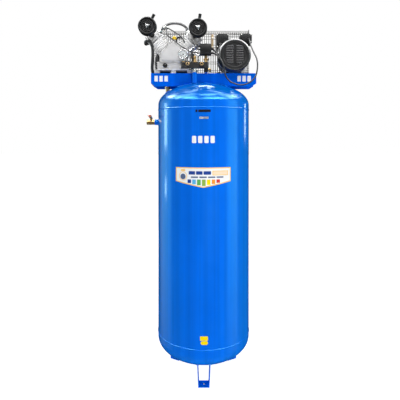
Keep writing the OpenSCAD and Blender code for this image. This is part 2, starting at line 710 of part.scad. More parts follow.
// two boxes hollowed to sit round the motor
module motor_boxes() color(black) difference() {
  union() {
    translate([73, -68, 1823]) cube([68, 96, 80]);
    translate([208, -68, 1853]) cube([64, 96, 51]);
  }
  at_motor() ybar(motor_r + 1.2, -80, 80);
}

// ---- belt guard ----
guard_left = -312;
guard_right = 275;
guard_base = 1640;
guard_front = belt_y - 35;
guard_back = belt_y + 35;
rim_w = 3;
rim_t = 2;
// gaps in the front mesh round the shafts: x, z, half width, half height
shaft_gaps = [[pump_x, crank_z, 48, 52], [motor_x, motor_z, 26, 30]];

module upright_wire(x, y, from, to)
  translate([x, y, from]) cylinder(r = wire_r, h = to - from, $fn = 16);
module belt_guard() color(steel) {
  wires = floor((guard_right - guard_left - 12) / wire_pitch);
  wire_xs = [for (k = [0 : wires]) guard_left + 8 + k * wire_pitch];
  low = guard_base + 3;
  high = guard_top - 4;
  for (y = [guard_front + 6, guard_back - 6]) {
    front = y < belt_y;
    for (x = wire_xs) {
      gaps = [for (gap = shaft_gaps) if (front && abs(x - gap[0]) < gap[2]) gap];
      if (len(gaps) == 0) upright_wire(x, y, low, high);
      for (gap = gaps) {
        upright_wire(x, y, low, gap[1] - gap[3]);
        upright_wire(x, y, gap[1] + gap[3], high);
      }
    }
    // level wires outside the uprights; the front leaves out those that meet a shaft
    for (k = [0 : 5]) {
      z = guard_base + 34 + k * 51;
      if (!front || abs(z - crank_z) > 40 && abs(z - motor_z) > 30)
        translate([0, y + (front ? -2 : 2) * (wire_r + fit), z])
          xbar(wire_r, guard_left + 3, guard_right - 3, $fn = 16);
    }
  }
  for (x = wire_xs) translate([x, 0, guard_top - wire_r - 0.5])
    ybar(wire_r, guard_front + 3, guard_back - 3, $fn = 16);
}
// flat rims front and rear, corner rods, stays to the platform and a clip strip
module guard_frame() color(frame_steel) {
  width = guard_right - guard_left;
  for (y = [guard_front - 1, guard_back - 1]) difference() {
    translate([guard_left, y, guard_base]) cube([width, rim_t, guard_top - guard_base + 1]);
    translate([guard_left + rim_w, y - 1, guard_base + rim_w])
      cube([width - 2 * rim_w, rim_t + 2, guard_top - guard_base - 5]);
  }
  for (x = [guard_left + 1.5, guard_right - 1.5], z = [guard_base + 1.5, guard_top - 1.5])
    translate([x, 0, z]) ybar(1.4, guard_front + 1, guard_back - 1);
  for (x = [-230, 230]) translate([x - 9, deck_half_w + fit, deck_z - 44]) {
    cube([18, 3, 18]);
    cube([18, guard_front - 1 - deck_half_w - 2 * fit, 3]);
  }
  translate([49, guard_front - 4.1, 1857]) cube([12, 3, 69]);
}

// ---- controls ----
knob_x = 11;
knob_y = -120;
// stations along the manifold bar
gauge_x = -112;
gauge_z = 1776;
service_xs = [-88, -11];
safety_x = -48;
switch_x = 13;

module pressure_switch() color(black) {
  translate([-21, -145, 1773]) cube([63, 48, 8]);
  difference() {
    translate([-21, -147, 1781 + fit]) cube([63, 52, 49]);
    translate([-18, -144, 1775]) cube([57, 46, 52]);
    translate([knob_x, knob_y, 1820]) cylinder(r = 6, h = 20);
  }
}
module switch_knob() color(black) translate([knob_x, knob_y, 0]) {
  translate([0, 0, 1819]) cylinder(r = 5.9, h = 12);
  translate([0, 0, 1830.9]) cylinder(r = 9, h = 4);
}
module manifold() color(black) difference() {
  union() {
    translate([-124, manifold_y - 15, manifold_z - 15]) cube([149, 30, 30]);
    translate([switch_x, manifold_y, manifold_z - 38]) cylinder(r = 12, h = 54);
  }
  translate([0, manifold_y, manifold_z]) xbar(7, -118, 20);
  for (x = service_xs)
    translate([x, 0, manifold_z + 4]) ybar(7 + fit, manifold_y - 20, manifold_y);
  for (x = [gauge_x, safety_x, switch_x])
    translate([x, manifold_y, manifold_z + 5]) cylinder(r = 5 + fit, h = 20);
  translate([riser_x, manifold_y, manifold_z - 20]) cylinder(r = 9, h = 15);
}
module riser_pipe() color(blue) difference() {
  translate([riser_x, manifold_y, head_top + 115]) union() {
    cylinder(r = 13, h = 60);
    translate([0, 0, 60]) hexbar(29, 12);
    cylinder(r = 8.9, h = 89);
  }
  translate([riser_x, manifold_y, head_top + 110]) cylinder(r = 6, h = 120);
}
module service_outlets() color(brass) {
  for (x = service_xs) translate([x, manifold_y, manifold_z + 4]) difference() {
    union() {
      ybar(7, -27, -6);
      rotate([90, 0, 0]) translate([0, 0, 15.1]) hexbar(20, 8);
      ybar(9, -36, -22);
    }
    ybar(service_bore_r, -37, -10);
    ybar(3.5, -12, 0);
  }
  // gauge stem, then switch nipple with its cross fitting
  translate([gauge_x, manifold_y, manifold_z]) {
    translate([0, 0, 6]) cylinder(r = 5, h = 14);
    translate([0, 0, 15.1]) hexbar(14, 9);
  }
  translate([switch_x, manifold_y, manifold_z]) {
    translate([0, 0, 6]) cylinder(r = 5, h = 48.8);
    translate([0, 0, 24]) hexbar(17, 12);
    translate([0, 0, 33]) xbar(6, -13, 13);
  }
}
module safety_valve() color(brass) translate([safety_x, manifold_y, manifold_z]) difference() {
  union() {
    translate([0, 0, 6]) cylinder(r = 5, h = 12);
    translate([0, 0, 15.1]) hexbar(19, 9);
    translate([0, 0, 24]) cylinder(r = 8, h = 24);
    translate([0, 0, 48]) cylinder(r = 6, h = 6);
  }
  translate([0, 0, 30]) cylinder(r = 2.5 + fit, h = 40);
}
module safety_ring() color(steel) translate([safety_x, manifold_y, manifold_z]) {
  translate([0, 0, 36]) cylinder(r = 2.5, h = 26);
  translate([0, 0, 70]) rotate([90, 0, 0])
    rotate_extrude() translate([9, 0]) circle(r = 1.4, $fn = 16);
}
// [radius, y]: closed back, rim and recessed dial
gauge_profile = [[0, -101], [gauge_r - 2, -101], [gauge_r - 1, -102], [gauge_r - 1, -120],
  [gauge_r, -121], [gauge_r, -126], [gauge_r - 3, -126], [gauge_r - 3, -120], [0, -120]];
module gauge() color(silver) translate([gauge_x, 0, gauge_z]) {
  difference() {
    ylathe(gauge_profile);
    ybar(1.5 + fit, -130, -110);
  }
  translate([0, manifold_y, -gauge_r - 7.5]) cylinder(r = 5.5, h = 9);
}
// needle rests on zero, 135 degrees round to the left of the top
module gauge_needle() color(black) translate([gauge_x, 0, gauge_z]) {
  ybar(1.5, -122.5, -112);
  ybar(3, -123, -121.2);
  rotate([0, -135, 0]) translate([-0.7, -122.4, 0]) cube([1.4, 0.8, gauge_r - 7]);
}
// [x, y, z] control points: switch to each motor box, then switch to the pump's side
right_cable_path = [[43.8, -118, 1784], [50, -119, 1783], [62, -130, 1775],
  [76, -150, 1763], [92, -160, 1742], [106, -162, 1707], [116, -160, 1658],
  [138, -157, 1626], [171, -154, 1610], [200, -151, 1605], [230, -148, 1610],
  [263, -145, 1629], [284, -142, 1658], [293, -138, 1707], [290, -130, 1750],
  [276, -110, 1790], [264, -95, 1825], [258, -84, 1850], [256, -77, 1866],
  [255, -71.5, 1873]];
left_cable_path = [[43.8, -120, 1806], [52, -118, 1804], [66, -100, 1793], [78, -86, 1800],
  [88, -80, 1822], [94, -76, 1838], [95, -71.5, 1844]];
thin_cable_path = [[-22.8, -119, 1821], [-30, -118, 1824], [-42, -109, 1838],
  [-56, -85, 1858], [-66, -60, 1871], [-69, -46, 1875]];
module cables() color(black) {
  for (path = [right_cable_path, left_cable_path]) sweep(smooth(path, 3), 4, sides = 10);
  sweep(smooth(thin_cable_path, 3), 3, sides = 10, up = [1, 0, 1]);
}

tank_shell();
top_head();
bottom_head();
front_leg();
left_leg();
right_leg();
platform();
outlet_socket();
outlet_valve_body();
outlet_ball();
outlet_lever();
lever_grip();
drain_cock_body();
drain_cock_tap();
safety_valve();
safety_ring();
data_plates();
riser_pipe();
check_valve();
crankcase();
front_cover();
sight_glass();
filler_cap();
crankshaft();
crank_bearings();
left_rod();
right_rod();
left_piston();
right_piston();
left_pins();
right_pins();
left_cylinder();
right_cylinder();
valve_plates();
left_head();
right_head();
left_filter();
right_filter();
machine_bolts();
arch_pipe();
discharge_pipe();
unloader_tubes();
flywheel();
v_belt();
motor_pulley();
motor_body();
motor_rotor();
motor_end_bells();
fan_cowl();
motor_fan();
motor_boxes();
belt_guard();
guard_frame();
pressure_switch();
switch_knob();
manifold();
service_outlets();
gauge();
gauge_needle();
cables();
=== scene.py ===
# Looks of the vertical tank compressor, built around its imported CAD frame.
import math
import bpy
import bmesh
from mathutils import Matrix, Vector


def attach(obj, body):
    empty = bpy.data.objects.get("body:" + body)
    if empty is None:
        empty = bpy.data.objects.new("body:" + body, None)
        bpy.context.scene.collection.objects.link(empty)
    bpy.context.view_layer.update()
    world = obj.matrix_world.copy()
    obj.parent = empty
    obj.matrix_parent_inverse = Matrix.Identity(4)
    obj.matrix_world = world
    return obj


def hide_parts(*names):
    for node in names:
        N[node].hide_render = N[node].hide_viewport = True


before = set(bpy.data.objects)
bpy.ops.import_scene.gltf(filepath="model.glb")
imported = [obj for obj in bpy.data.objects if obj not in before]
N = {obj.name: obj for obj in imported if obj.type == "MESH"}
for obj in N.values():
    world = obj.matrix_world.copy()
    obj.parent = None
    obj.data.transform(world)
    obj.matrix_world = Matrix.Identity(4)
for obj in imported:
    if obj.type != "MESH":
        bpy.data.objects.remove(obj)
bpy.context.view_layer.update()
scene = bpy.context.scene
S45 = math.sqrt(0.5)


# ------------------------------------------------------------------ materials
def new_mat(name):
    m = bpy.data.materials.new(name)
    m.use_nodes = True
    nt = m.node_tree
    return m, nt, nt.nodes["Principled BSDF"]


def link(nt, a, b):
    nt.links.new(a, b)


def noise(nt, scale, detail=3.0, rough=0.5, vec=None):
    n = nt.nodes.new("ShaderNodeTexNoise")
    n.inputs["Scale"].default_value = scale
    n.inputs["Detail"].default_value = detail
    n.inputs["Roughness"].default_value = rough
    if vec is not None:
        link(nt, vec, n.inputs["Vector"])
    return n


def ramp(nt, src, lo, hi, a=0.0, b=1.0):
    r = nt.nodes.new("ShaderNodeMapRange")
    r.inputs["From Min"].default_value = lo
    r.inputs["From Max"].default_value = hi
    r.inputs["To Min"].default_value = a
    r.inputs["To Max"].default_value = b
    link(nt, src, r.inputs["Value"])
    return r.outputs["Result"]


def mixc(nt, fac, a, b):
    m = nt.nodes.new("ShaderNodeMix")
    m.data_type = "RGBA"
    if isinstance(fac, float):
        m.inputs[0].default_value = fac
    else:
        link(nt, fac, m.inputs[0])
    for sock, v in ((m.inputs[6], a), (m.inputs[7], b)):
        if isinstance(v, (tuple, list)):
            sock.default_value = (*v, 1.0)
        else:
            link(nt, v, sock)
    return m.outputs[2]


def math_node(nt, op, a, b=None):
    m = nt.nodes.new("ShaderNodeMath")
    m.operation = op
    for i, v in enumerate((a, b)):
        if v is None:
            continue
        if isinstance(v, (int, float)):
            m.inputs[i].default_value = v
        else:
            link(nt, v, m.inputs[i])
    return m.outputs[0]


def finish_mat(name, col, metallic=0.0, rough=0.4, coat=0.0, coat_rough=0.05, spec=0.5,
               var=0.06, var_scale=9.0, rvar=0.08, bump=0.1, bump_scale=300.0, bump_dist=0.0004,
               bevel=0.0008, wear=None, wear_amt=0.5, dust=0.0, stretch=None, crevice_shade=0.0):
    """Layered finish: colour drift, roughness drift, fine bump, softened edges, worn edges, painted shade in recesses,
    dust on top.
    """
    m, nt, p = new_mat(name)
    tc = nt.nodes.new("ShaderNodeTexCoord").outputs["Object"]
    vec = tc
    if stretch:
        mp = nt.nodes.new("ShaderNodeMapping")
        mp.inputs["Scale"].default_value = stretch
        link(nt, tc, mp.inputs["Vector"])
        vec = mp.outputs["Vector"]
    n1 = noise(nt, var_scale, 4.0, 0.55, tc)
    dark = tuple(c * (1 - var * 2.2) for c in col)
    lite = tuple(min(1.0, c * (1 + var) + var * 0.02) for c in col)
    base = mixc(nt, ramp(nt, n1.outputs["Fac"], 0.3, 0.7), dark, lite)
    n2 = noise(nt, bump_scale, 2.0, 0.5, vec)
    n3 = noise(nt, var_scale * 6, 5.0, 0.6, tc)
    rr = ramp(nt, n3.outputs["Fac"], 0.3, 0.7, max(0.0, rough - rvar), min(1.0, rough + rvar))
    bn = nt.nodes.new("ShaderNodeBump")
    bn.inputs["Strength"].default_value = bump
    bn.inputs["Distance"].default_value = bump_dist
    link(nt, n2.outputs["Fac"], bn.inputs["Height"])
    bv = None
    if bevel > 0:
        bv = nt.nodes.new("ShaderNodeBevel")
        bv.samples = 4
        bv.inputs["Radius"].default_value = bevel
        link(nt, bv.outputs["Normal"], bn.inputs["Normal"])
    if wear is not None and bv is not None:
        geo = nt.nodes.new("ShaderNodeNewGeometry")
        dot = nt.nodes.new("ShaderNodeVectorMath")
        dot.operation = "DOT_PRODUCT"
        link(nt, bv.outputs["Normal"], dot.inputs[0])
        link(nt, geo.outputs["Normal"], dot.inputs[1])
        edge = ramp(nt, dot.outputs["Value"], 0.985, 0.80)
        brk = ramp(nt, n3.outputs["Fac"], 0.45, 0.60)
        mask = math_node(nt, "MULTIPLY", math_node(nt, "MULTIPLY", edge, brk), wear_amt)
        base = mixc(nt, mask, base, wear)
    # painted shade: the base colour darkens towards a quarter of itself where ambient occlusion finds creases and
    # recesses
    if crevice_shade > 0:
        ao = nt.nodes.new("ShaderNodeAmbientOcclusion")
        ao.samples = 4
        ao.inputs["Distance"].default_value = 0.02
        g = math_node(nt, "MULTIPLY", ramp(nt, ao.outputs["AO"], 0.75, 0.2), crevice_shade)
        base = mixc(nt, g, base, tuple(c * 0.25 for c in col))
    if dust > 0:
        geo2 = nt.nodes.new("ShaderNodeNewGeometry")
        sep = nt.nodes.new("ShaderNodeSeparateXYZ")
        link(nt, geo2.outputs["Normal"], sep.inputs[0])
        up = ramp(nt, sep.outputs["Z"], 0.6, 1.0)
        dd = math_node(nt, "MULTIPLY", math_node(nt, "MULTIPLY", up, ramp(nt, n3.outputs["Fac"], 0.35, 0.65)), dust)
        base = mixc(nt, dd, base, (0.55, 0.53, 0.50))
    link(nt, base, p.inputs["Base Color"])
    link(nt, rr, p.inputs["Roughness"])
    link(nt, bn.outputs["Normal"], p.inputs["Normal"])
    p.inputs["Metallic"].default_value = metallic
    p.inputs["Specular IOR Level"].default_value = spec
    p.inputs["Coat Weight"].default_value = coat
    p.inputs["Coat Roughness"].default_value = coat_rough
    if coat > 0 and bv is not None:
        link(nt, bv.outputs["Normal"], p.inputs["Coat Normal"])
    return m


def enamel(m, glancing_sheen_col, tint):
    """Deep enamel with painted sheen: the base colour lifts to a lighter blue towards glancing views, standing in for
    the light on the tank's edges, and the gloss keeps the paint's hue.
    """
    nt = m.node_tree
    p = nt.nodes["Principled BSDF"]
    src = p.inputs["Base Color"].links[0].from_socket
    lw = nt.nodes.new("ShaderNodeLayerWeight")
    lw.inputs["Blend"].default_value = 0.5
    # painted reflection: faint darker vertical streaks in the base colour stand in for the wavy reflections of the
    # rolled shell
    mp = nt.nodes.new("ShaderNodeMapping")
    mp.inputs["Scale"].default_value = (1.0, 1.0, 0.012)
    link(nt, nt.nodes.new("ShaderNodeTexCoord").outputs["Object"], mp.inputs["Vector"])
    st = noise(nt, 22.0, 3.0, 0.6, mp.outputs["Vector"])
    # painted sheen: a lighter blue mixed into the base colour towards glancing views
    flat = mixc(nt, ramp(nt, lw.outputs["Facing"], 0.10, 0.85), src, glancing_sheen_col)
    dim = mixc(nt, 0.16, flat, (0.0, 0.0, 0.02))
    link(nt, mixc(nt, ramp(nt, st.outputs["Fac"], 0.62, 0.40), flat, dim), p.inputs["Base Color"])
    p.inputs["Specular Tint"].default_value = (*tint, 1.0)
    return m


M = {}
M["blue"] = finish_mat("blue_enamel", (0.0, 0.150, 0.86), rough=0.15, coat=0.0, coat_rough=0.05, spec=0.85,
                       var=0.04, var_scale=3.0, rvar=0.05, bump=0.05, bump_scale=170, bump_dist=0.0006,
                       bevel=0.0012, wear=(0.25, 0.32, 0.42), wear_amt=0.2)
enamel(M["blue"], (0.0, 0.25, 0.97), (0.15, 0.70, 1.0))
M["deep"] = finish_mat("deep_blue_enamel", (0.0, 0.128, 0.80), rough=0.30, coat=0.0, coat_rough=0.10, spec=0.08,
                       var=0.05, var_scale=4.0, bump=0.06, bump_scale=180, bump_dist=0.0006, bevel=0.0014,
                       wear=(0.22, 0.28, 0.36), wear_amt=0.4)
enamel(M["deep"], (0.0, 0.16, 0.80), (0.15, 0.70, 1.0))
M["cast"] = finish_mat("cast_aluminium", (0.62, 0.62, 0.62), metallic=0.05, spec=0.25, rough=0.46, var=0.05, var_scale=14,
                       rvar=0.10, bump=0.35, bump_scale=420, bump_dist=0.0005, bevel=0.0016,
                       wear=(0.92, 0.92, 0.92), wear_amt=0.5, crevice_shade=0.30)
M["fin"] = finish_mat("finned_aluminium", (0.97, 0.97, 0.97), metallic=0.0, spec=0.6, rough=0.40, var=0.02, var_scale=18,
                      bump=0.3, bump_scale=500, bump_dist=0.0004, bevel=0.0010, wear=(0.97, 0.97, 0.97),
                      wear_amt=0.6, crevice_shade=0.0)
M["frame"] = finish_mat("motor_frame_aluminium", (0.62, 0.62, 0.63), metallic=0.35, rough=0.42, var=0.05, var_scale=18,
                        bump=0.3, bump_scale=500, bump_dist=0.0004, bevel=0.0010, crevice_shade=0.4)
M["pipe"] = finish_mat("grey_pipe", (0.46, 0.46, 0.465), metallic=0.55, rough=0.30, var=0.05, var_scale=30,
                       bump=0.1, bump_scale=700, bump_dist=0.0002, bevel=0.0)
M["arch"] = finish_mat("drawn_grey_pipe", (0.155, 0.155, 0.157), metallic=0.35, rough=0.34, var=0.06, var_scale=30,
                       bump=0.1, bump_scale=700, bump_dist=0.0002, bevel=0.0)
M["alu"] = finish_mat("turned_aluminium", (0.42, 0.425, 0.43), metallic=0.9, rough=0.26, var=0.04, bump=0.12,
                      bump_scale=900, bump_dist=0.0002, crevice_shade=0.3)
M["steel"] = finish_mat("machined_steel", (0.56, 0.57, 0.59), metallic=1.0, rough=0.30, var=0.06, bump=0.12,
                        bump_scale=800, bump_dist=0.0002, crevice_shade=0.3)
M["zinc"] = finish_mat("zinc_plate", (0.66, 0.66, 0.64), metallic=1.0, rough=0.32, var=0.10, var_scale=60,
                       bump=0.08, bump_scale=700, bump_dist=0.0002, crevice_shade=0.35)
M["wire"] = finish_mat("galvanised_wire", (0.12, 0.115, 0.11), metallic=0.5, rough=0.36, var=0.10, var_scale=90,
                       bump=0.1, bump_scale=900, bump_dist=0.0002, bevel=0.0)
M["chrome"] = finish_mat("chrome_plate", (0.80, 0.81, 0.82), metallic=1.0, rough=0.08, var=0.02, rvar=0.03,
                         bump=0.02, bump_scale=300, bump_dist=0.0002)
M["brass"] = finish_mat("machined_brass", (0.70, 0.46, 0.20), metallic=0.85, rough=0.30, var=0.10, var_scale=70,
                        bump=0.1, bump_scale=900, bump_dist=0.0002, wear=(0.90, 0.72, 0.38), wear_amt=0.5, crevice_shade=0.5)
M["yzinc"] = finish_mat("yellow_chromate", (0.66, 0.48, 0.27), metallic=0.0, rough=0.40, var=0.14, var_scale=70,
                        bump=0.06, bump_scale=500)
M["black"] = finish_mat("black_moulded_plastic", (0.008, 0.008, 0.0085), rough=0.46, spec=0.20, var=0.10, var_scale=12,
                        rvar=0.08, bump=0.35, bump_scale=900, bump_dist=0.0003, bevel=0.0012,
                        wear=(0.08, 0.08, 0.08), wear_amt=0.5, dust=0.004)
M["satin"] = finish_mat("black_satin_paint", (0.010, 0.010, 0.0105), rough=0.36, coat=0.06, coat_rough=0.2, var=0.08,
                        bump=0.15, bump_scale=420, bevel=0.0012, wear=(0.15, 0.15, 0.155), wear_amt=0.4, dust=0.02)
M["hose"] = finish_mat("dark_painted_pipe", (0.036, 0.036, 0.037), rough=0.40, spec=0.3, var=0.08,
                       bump=0.15, bump_scale=420, bevel=0.0)
M["iron"] = finish_mat("painted_cast_iron", (0.050, 0.050, 0.053), rough=0.48, var=0.12, bump=0.5, bump_scale=260,
                       bump_dist=0.0007, bevel=0.0015, wear=(0.28, 0.28, 0.29), wear_amt=0.5, dust=0.1)
M["rubber"] = finish_mat("belt_rubber", (0.022, 0.022, 0.022), rough=0.72, var=0.15, bump=0.5, bump_scale=1400,
                         bump_dist=0.0003, spec=0.3, bevel=0.0006, wear=(0.08, 0.08, 0.08))
M["cable"] = finish_mat("cable_sheath", (0.016, 0.016, 0.017), rough=0.40, var=0.1, bump=0.15, bump_scale=700,
                        bevel=0.0)
M["grip"] = finish_mat("dipped_grip", (0.80, 0.13, 0.03), rough=0.38, coat=0.25, var=0.07, bump=0.25, bump_scale=500,
                       bevel=0.0008)
M["red"] = finish_mat("red_plastic", (0.62, 0.02, 0.015), rough=0.30, coat=0.2, var=0.05, bump=0.05)
M["yellow"] = finish_mat("yellow_plastic", (0.84, 0.56, 0.02), rough=0.34, coat=0.2, var=0.06, bump=0.08)
M["bluecap"] = finish_mat("blue_plastic", (0.01, 0.08, 0.42), rough=0.34, coat=0.2, var=0.06, bump=0.08)
M["white"] = finish_mat("white_vinyl", (0.86, 0.87, 0.88), spec=0.12, rough=0.42, var=0.02, bump=0.04, bump_scale=400, bevel=0.0)
M["gold"] = finish_mat("gold_vinyl", (0.93, 0.58, 0.13), spec=0.12, rough=0.45, metallic=0.0, var=0.05, bump=0.04, bevel=0.0)
M["navy"] = finish_mat("navy_vinyl", (0.02, 0.06, 0.30), spec=0.12, rough=0.40, var=0.04, bump=0.04, bevel=0.0)
M["green"] = finish_mat("green_vinyl", (0.12, 0.42, 0.10), spec=0.12, rough=0.40, var=0.04, bump=0.04, bevel=0.0)
M["orange"] = finish_mat("orange_vinyl", (0.85, 0.30, 0.03), spec=0.12, rough=0.40, var=0.04, bump=0.04, bevel=0.0)
M["sky"] = finish_mat("sky_vinyl", (0.10, 0.45, 0.80), spec=0.12, rough=0.40, var=0.04, bump=0.04, bevel=0.0)
M["lemon"] = finish_mat("yellow_vinyl", (0.98, 0.72, 0.0), spec=0.12, rough=0.40, var=0.04, bump=0.04, bevel=0.0)
M["cream"] = finish_mat("cream_vinyl", (0.90, 0.72, 0.52), spec=0.12, rough=0.42, var=0.02, bump=0.04, bevel=0.0)
M["leaf"] = finish_mat("leaf_vinyl", (0.28, 0.46, 0.07), spec=0.12, rough=0.40, var=0.04, bump=0.04, bevel=0.0)
M["slate"] = finish_mat("slate_vinyl", (0.10, 0.14, 0.26), spec=0.12, rough=0.40, var=0.04, bump=0.04, bevel=0.0)
M["ink"] = finish_mat("black_ink", (0.008, 0.008, 0.012), rough=0.5, spec=0.1, var=0.02, bump=0.0, bevel=0.0)
M["dial"] = finish_mat("dial_white", (0.40, 0.40, 0.395), rough=0.5, spec=0.1, var=0.02, bump=0.02, bevel=0.0)
M["silverface"] = finish_mat("satin_foil", (0.74, 0.75, 0.77), metallic=0.9, rough=0.34, var=0.04, bump=0.1,
                             bump_scale=800, stretch=(1, 1, 40), bevel=0.0)
M["braid"] = finish_mat("steel_hose", (0.66, 0.67, 0.69), metallic=0.9, rough=0.30, var=0.12, var_scale=200,
                        bump=0.4, bump_scale=900, bevel=0.0)


def glass():
    m, nt, p = new_mat("gauge_glass")
    p.inputs["Base Color"].default_value = (0.95, 0.97, 0.98, 1)
    p.inputs["Roughness"].default_value = 0.03
    p.inputs["Transmission Weight"].default_value = 1.0
    p.inputs["IOR"].default_value = 1.10
    n = noise(nt, 30, 2)
    link(nt, ramp(nt, n.outputs["Fac"], 0.3, 0.7, 0.02, 0.06), p.inputs["Roughness"])
    return m


M["glass"] = glass()


def rim_highlight_mat():
    """Satin metal edge ring with a painted highlight: light grey on top, fading to near black below, by height."""
    m = finish_mat("cowl_edge_ring_painted_highlight", (0.42, 0.42, 0.42), metallic=0.25, rough=0.30, var=0.05, bump=0.1,
                   bump_scale=600, bump_dist=0.0002, bevel=0.0)
    nt = m.node_tree
    p = nt.nodes["Principled BSDF"]
    src = p.inputs["Base Color"].links[0].from_socket
    sep = nt.nodes.new("ShaderNodeSeparateXYZ")
    link(nt, nt.nodes.new("ShaderNodeTexCoord").outputs["Object"], sep.inputs[0])
    # painted highlight: the ring is light grey above 1.80 m height and near black below 1.745 m
    up = ramp(nt, sep.outputs["Z"], 1.745, 1.800)
    link(nt, mixc(nt, up, (0.020, 0.020, 0.021), src), p.inputs["Base Color"])
    return m


M["rim"] = rim_highlight_mat()

# ------------------------------------------------------------------ mesh tools (millimetres in, metres out)
MM = 0.001


def V(*a):
    return Vector(a)


def make(name, bm, mat, body="root", rep=(), sharp=32.0, recalc=True):
    if recalc:
        bmesh.ops.recalc_face_normals(bm, faces=bm.faces[:])
    bm.normal_update()
    lim = math.radians(sharp)
    for f in bm.faces:
        f.smooth = True
    for e in bm.edges:
        if len(e.link_faces) == 2:
            e.smooth = e.calc_face_angle(0.0) < lim
    me = bpy.data.meshes.new(name)
    bmesh.ops.scale(bm, vec=(MM, MM, MM), verts=bm.verts[:])
    bm.to_mesh(me)
    bm.free()
    ob = bpy.data.objects.new(name, me)
    scene.collection.objects.link(ob)
    me.materials.append(M[mat] if isinstance(mat, str) else mat)
    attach(ob, body)
    if rep:
        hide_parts(*rep)
    return ob


def join(dst, src, mtx=None):
    """Adds the geometry of src to dst."""
    me = bpy.data.meshes.new("tmp")
    src.to_mesh(me)
    src.free()
    if mtx is not None:
        me.transform(mtx)
    dst.from_mesh(me)
    bpy.data.meshes.remove(me)
    return dst


def axis_mtx(origin, direction, up=None):
    """Local Z to direction."""
    d = Vector(direction).normalized()
    u = Vector(up) if up is not None else (V(0, 0, 1) if abs(d.z) < 0.9 else V(0, 1, 0))
    x = u.cross(d).normalized()
    y = d.cross(x)
    m = Matrix((x, y, d)).transposed().to_4x4()
    return Matrix.Translation(Vector(origin)) @ m


def lathe(profile, origin=(0, 0, 0), direction=(0, 0, 1), seg=96, closed=False):
    """Turned body; profile is [(radius, height)] from bottom to top."""
    bm = bmesh.new()
    rings = []
    for r, h in profile:
        if r < 1e-6:
            rings.append([bm.verts.new((0, 0, h))])
        else:
            rings.append([bm.verts.new((r * math.cos(2 * math.pi * k / seg), r * math.sin(2 * math.pi * k / seg), h))
                          for k in range(seg)])
    pairs = list(zip(rings, rings[1:]))
    if closed:
        pairs.append((rings[-1], rings[0]))
    for a, b in pairs:
        for k in range(seg):
            k2 = (k + 1) % seg
            va = [a[k % len(a)], a[k2 % len(a)]] if len(a) > 1 else [a[0]]
            vb = [b[k2 % len(b)], b[k % len(b)]] if len(b) > 1 else [b[0]]
            vs = va + vb
            if len(vs) >= 3:
                bm.faces.new(vs)
    if not closed:
        for ring in (rings[0], rings[-1]):
            if len(ring) > 1:
                bm.faces.new(ring)
    bmesh.ops.transform(bm, matrix=axis_mtx(origin, direction), verts=bm.verts[:])
    return bm


def rcorner(pts, rad, n=4):
    """Rounds the corners of an open profile of (r, h) points; rad is one radius or one per point."""
    out = []
    for i, p in enumerate(pts):
        r = rad[i] if isinstance(rad, (list, tuple)) else rad
        if i in (0, len(pts) - 1) or r <= 0:
            out.append(p)
            continue
        a, b, c = Vector(pts[i - 1]), Vector(p), Vector(pts[i + 1])
        u, v = (a - b), (c - b)
        t = min(r, u.length * 0.45, v.length * 0.45)
        if t < 1e-4:
            out.append(p)
            continue
        s, e = b + u.normalized() * t, b + v.normalized() * t
        for k in range(n + 1):
            q = k / n
            w = (1 - q) ** 2 * s + 2 * q * (1 - q) * b + q * q * e
            out.append((w.x, w.y))
    return out


def rbox(size, centre, bevel=2.0, seg=3, mtx=None):
    bm = bmesh.new()
    bmesh.ops.create_cube(bm, size=1.0)
    bmesh.ops.scale(bm, vec=size, verts=bm.verts[:])
    if bevel > 0:
        bmesh.ops.bevel(bm, geom=bm.edges[:], offset=bevel, segments=seg, profile=0.5, affect="EDGES", clamp_overlap=True)
    bmesh.ops.translate(bm, vec=Vector(centre), verts=bm.verts[:])
    if mtx is not None:
        bmesh.ops.transform(bm, matrix=mtx, verts=bm.verts[:])
    return bm


def prism(pts, y0, y1, bevel=1.5, seg=3, mtx=None):
    """Outline in X-Z extruded along Y, edges rounded."""
    bm = bmesh.new()
    a = [bm.verts.new((p[0], y0, p[1])) for p in pts]
    b = [bm.verts.new((p[0], y1, p[1])) for p in pts]
    bm.faces.new(a)
    bm.faces.new(b[::-1])
    n = len(pts)
    for k in range(n):
        bm.faces.new((a[k], b[k], b[(k + 1) % n], a[(k + 1) % n]))
    bmesh.ops.recalc_face_normals(bm, faces=bm.faces[:])
    if bevel > 0:
        es = [e for e in bm.edges if e.calc_face_angle(0) > math.radians(25)]
        bmesh.ops.bevel(bm, geom=es, offset=bevel, segments=seg, profile=0.5, affect="EDGES", clamp_overlap=True)
    if mtx is not None:
        bmesh.ops.transform(bm, matrix=mtx, verts=bm.verts[:])
    return bm


def hexa(af, h, origin, direction, cham=1.2):
    """Hexagon bar with turned chamfers on both ends."""
    bm = bmesh.new()
    R = af / math.sqrt(3)
    seg = 6
    rings = []
    for z, s in ((0, 1 - cham / R), (cham * 0.55, 1.0), (h - cham * 0.55, 1.0), (h, 1 - cham / R)):
        rings.append([bm.verts.new((R * s * math.cos(math.pi / 3 * k), R * s * math.sin(math.pi / 3 * k), z)) for k in range(seg)])
    for a, b in zip(rings, rings[1:]):
        for k in range(seg):
            bm.faces.new((a[k], a[(k + 1) % seg], b[(k + 1) % seg], b[k]))
    bm.faces.new(rings[0][::-1])
    bm.faces.new(rings[-1])
    bmesh.ops.transform(bm, matrix=axis_mtx(origin, direction), verts=bm.verts[:])
    return bm


def smooth_path(p, n=8):
    out = []
    q = [Vector(a) for a in p]
    for i in range(len(q) - 1):
        a, b, c, d = q[max(i - 1, 0)], q[i], q[i + 1], q[min(i + 2, len(q) - 1)]
        for k in range(n):
            t = k / n
            out.append(0.5 * (2 * b + (c - a) * t + (2 * a - 5 * b + 4 * c - d) * t * t + (3 * b - a - 3 * c + d) * t ** 3))
    out.append(q[-1])
    return out


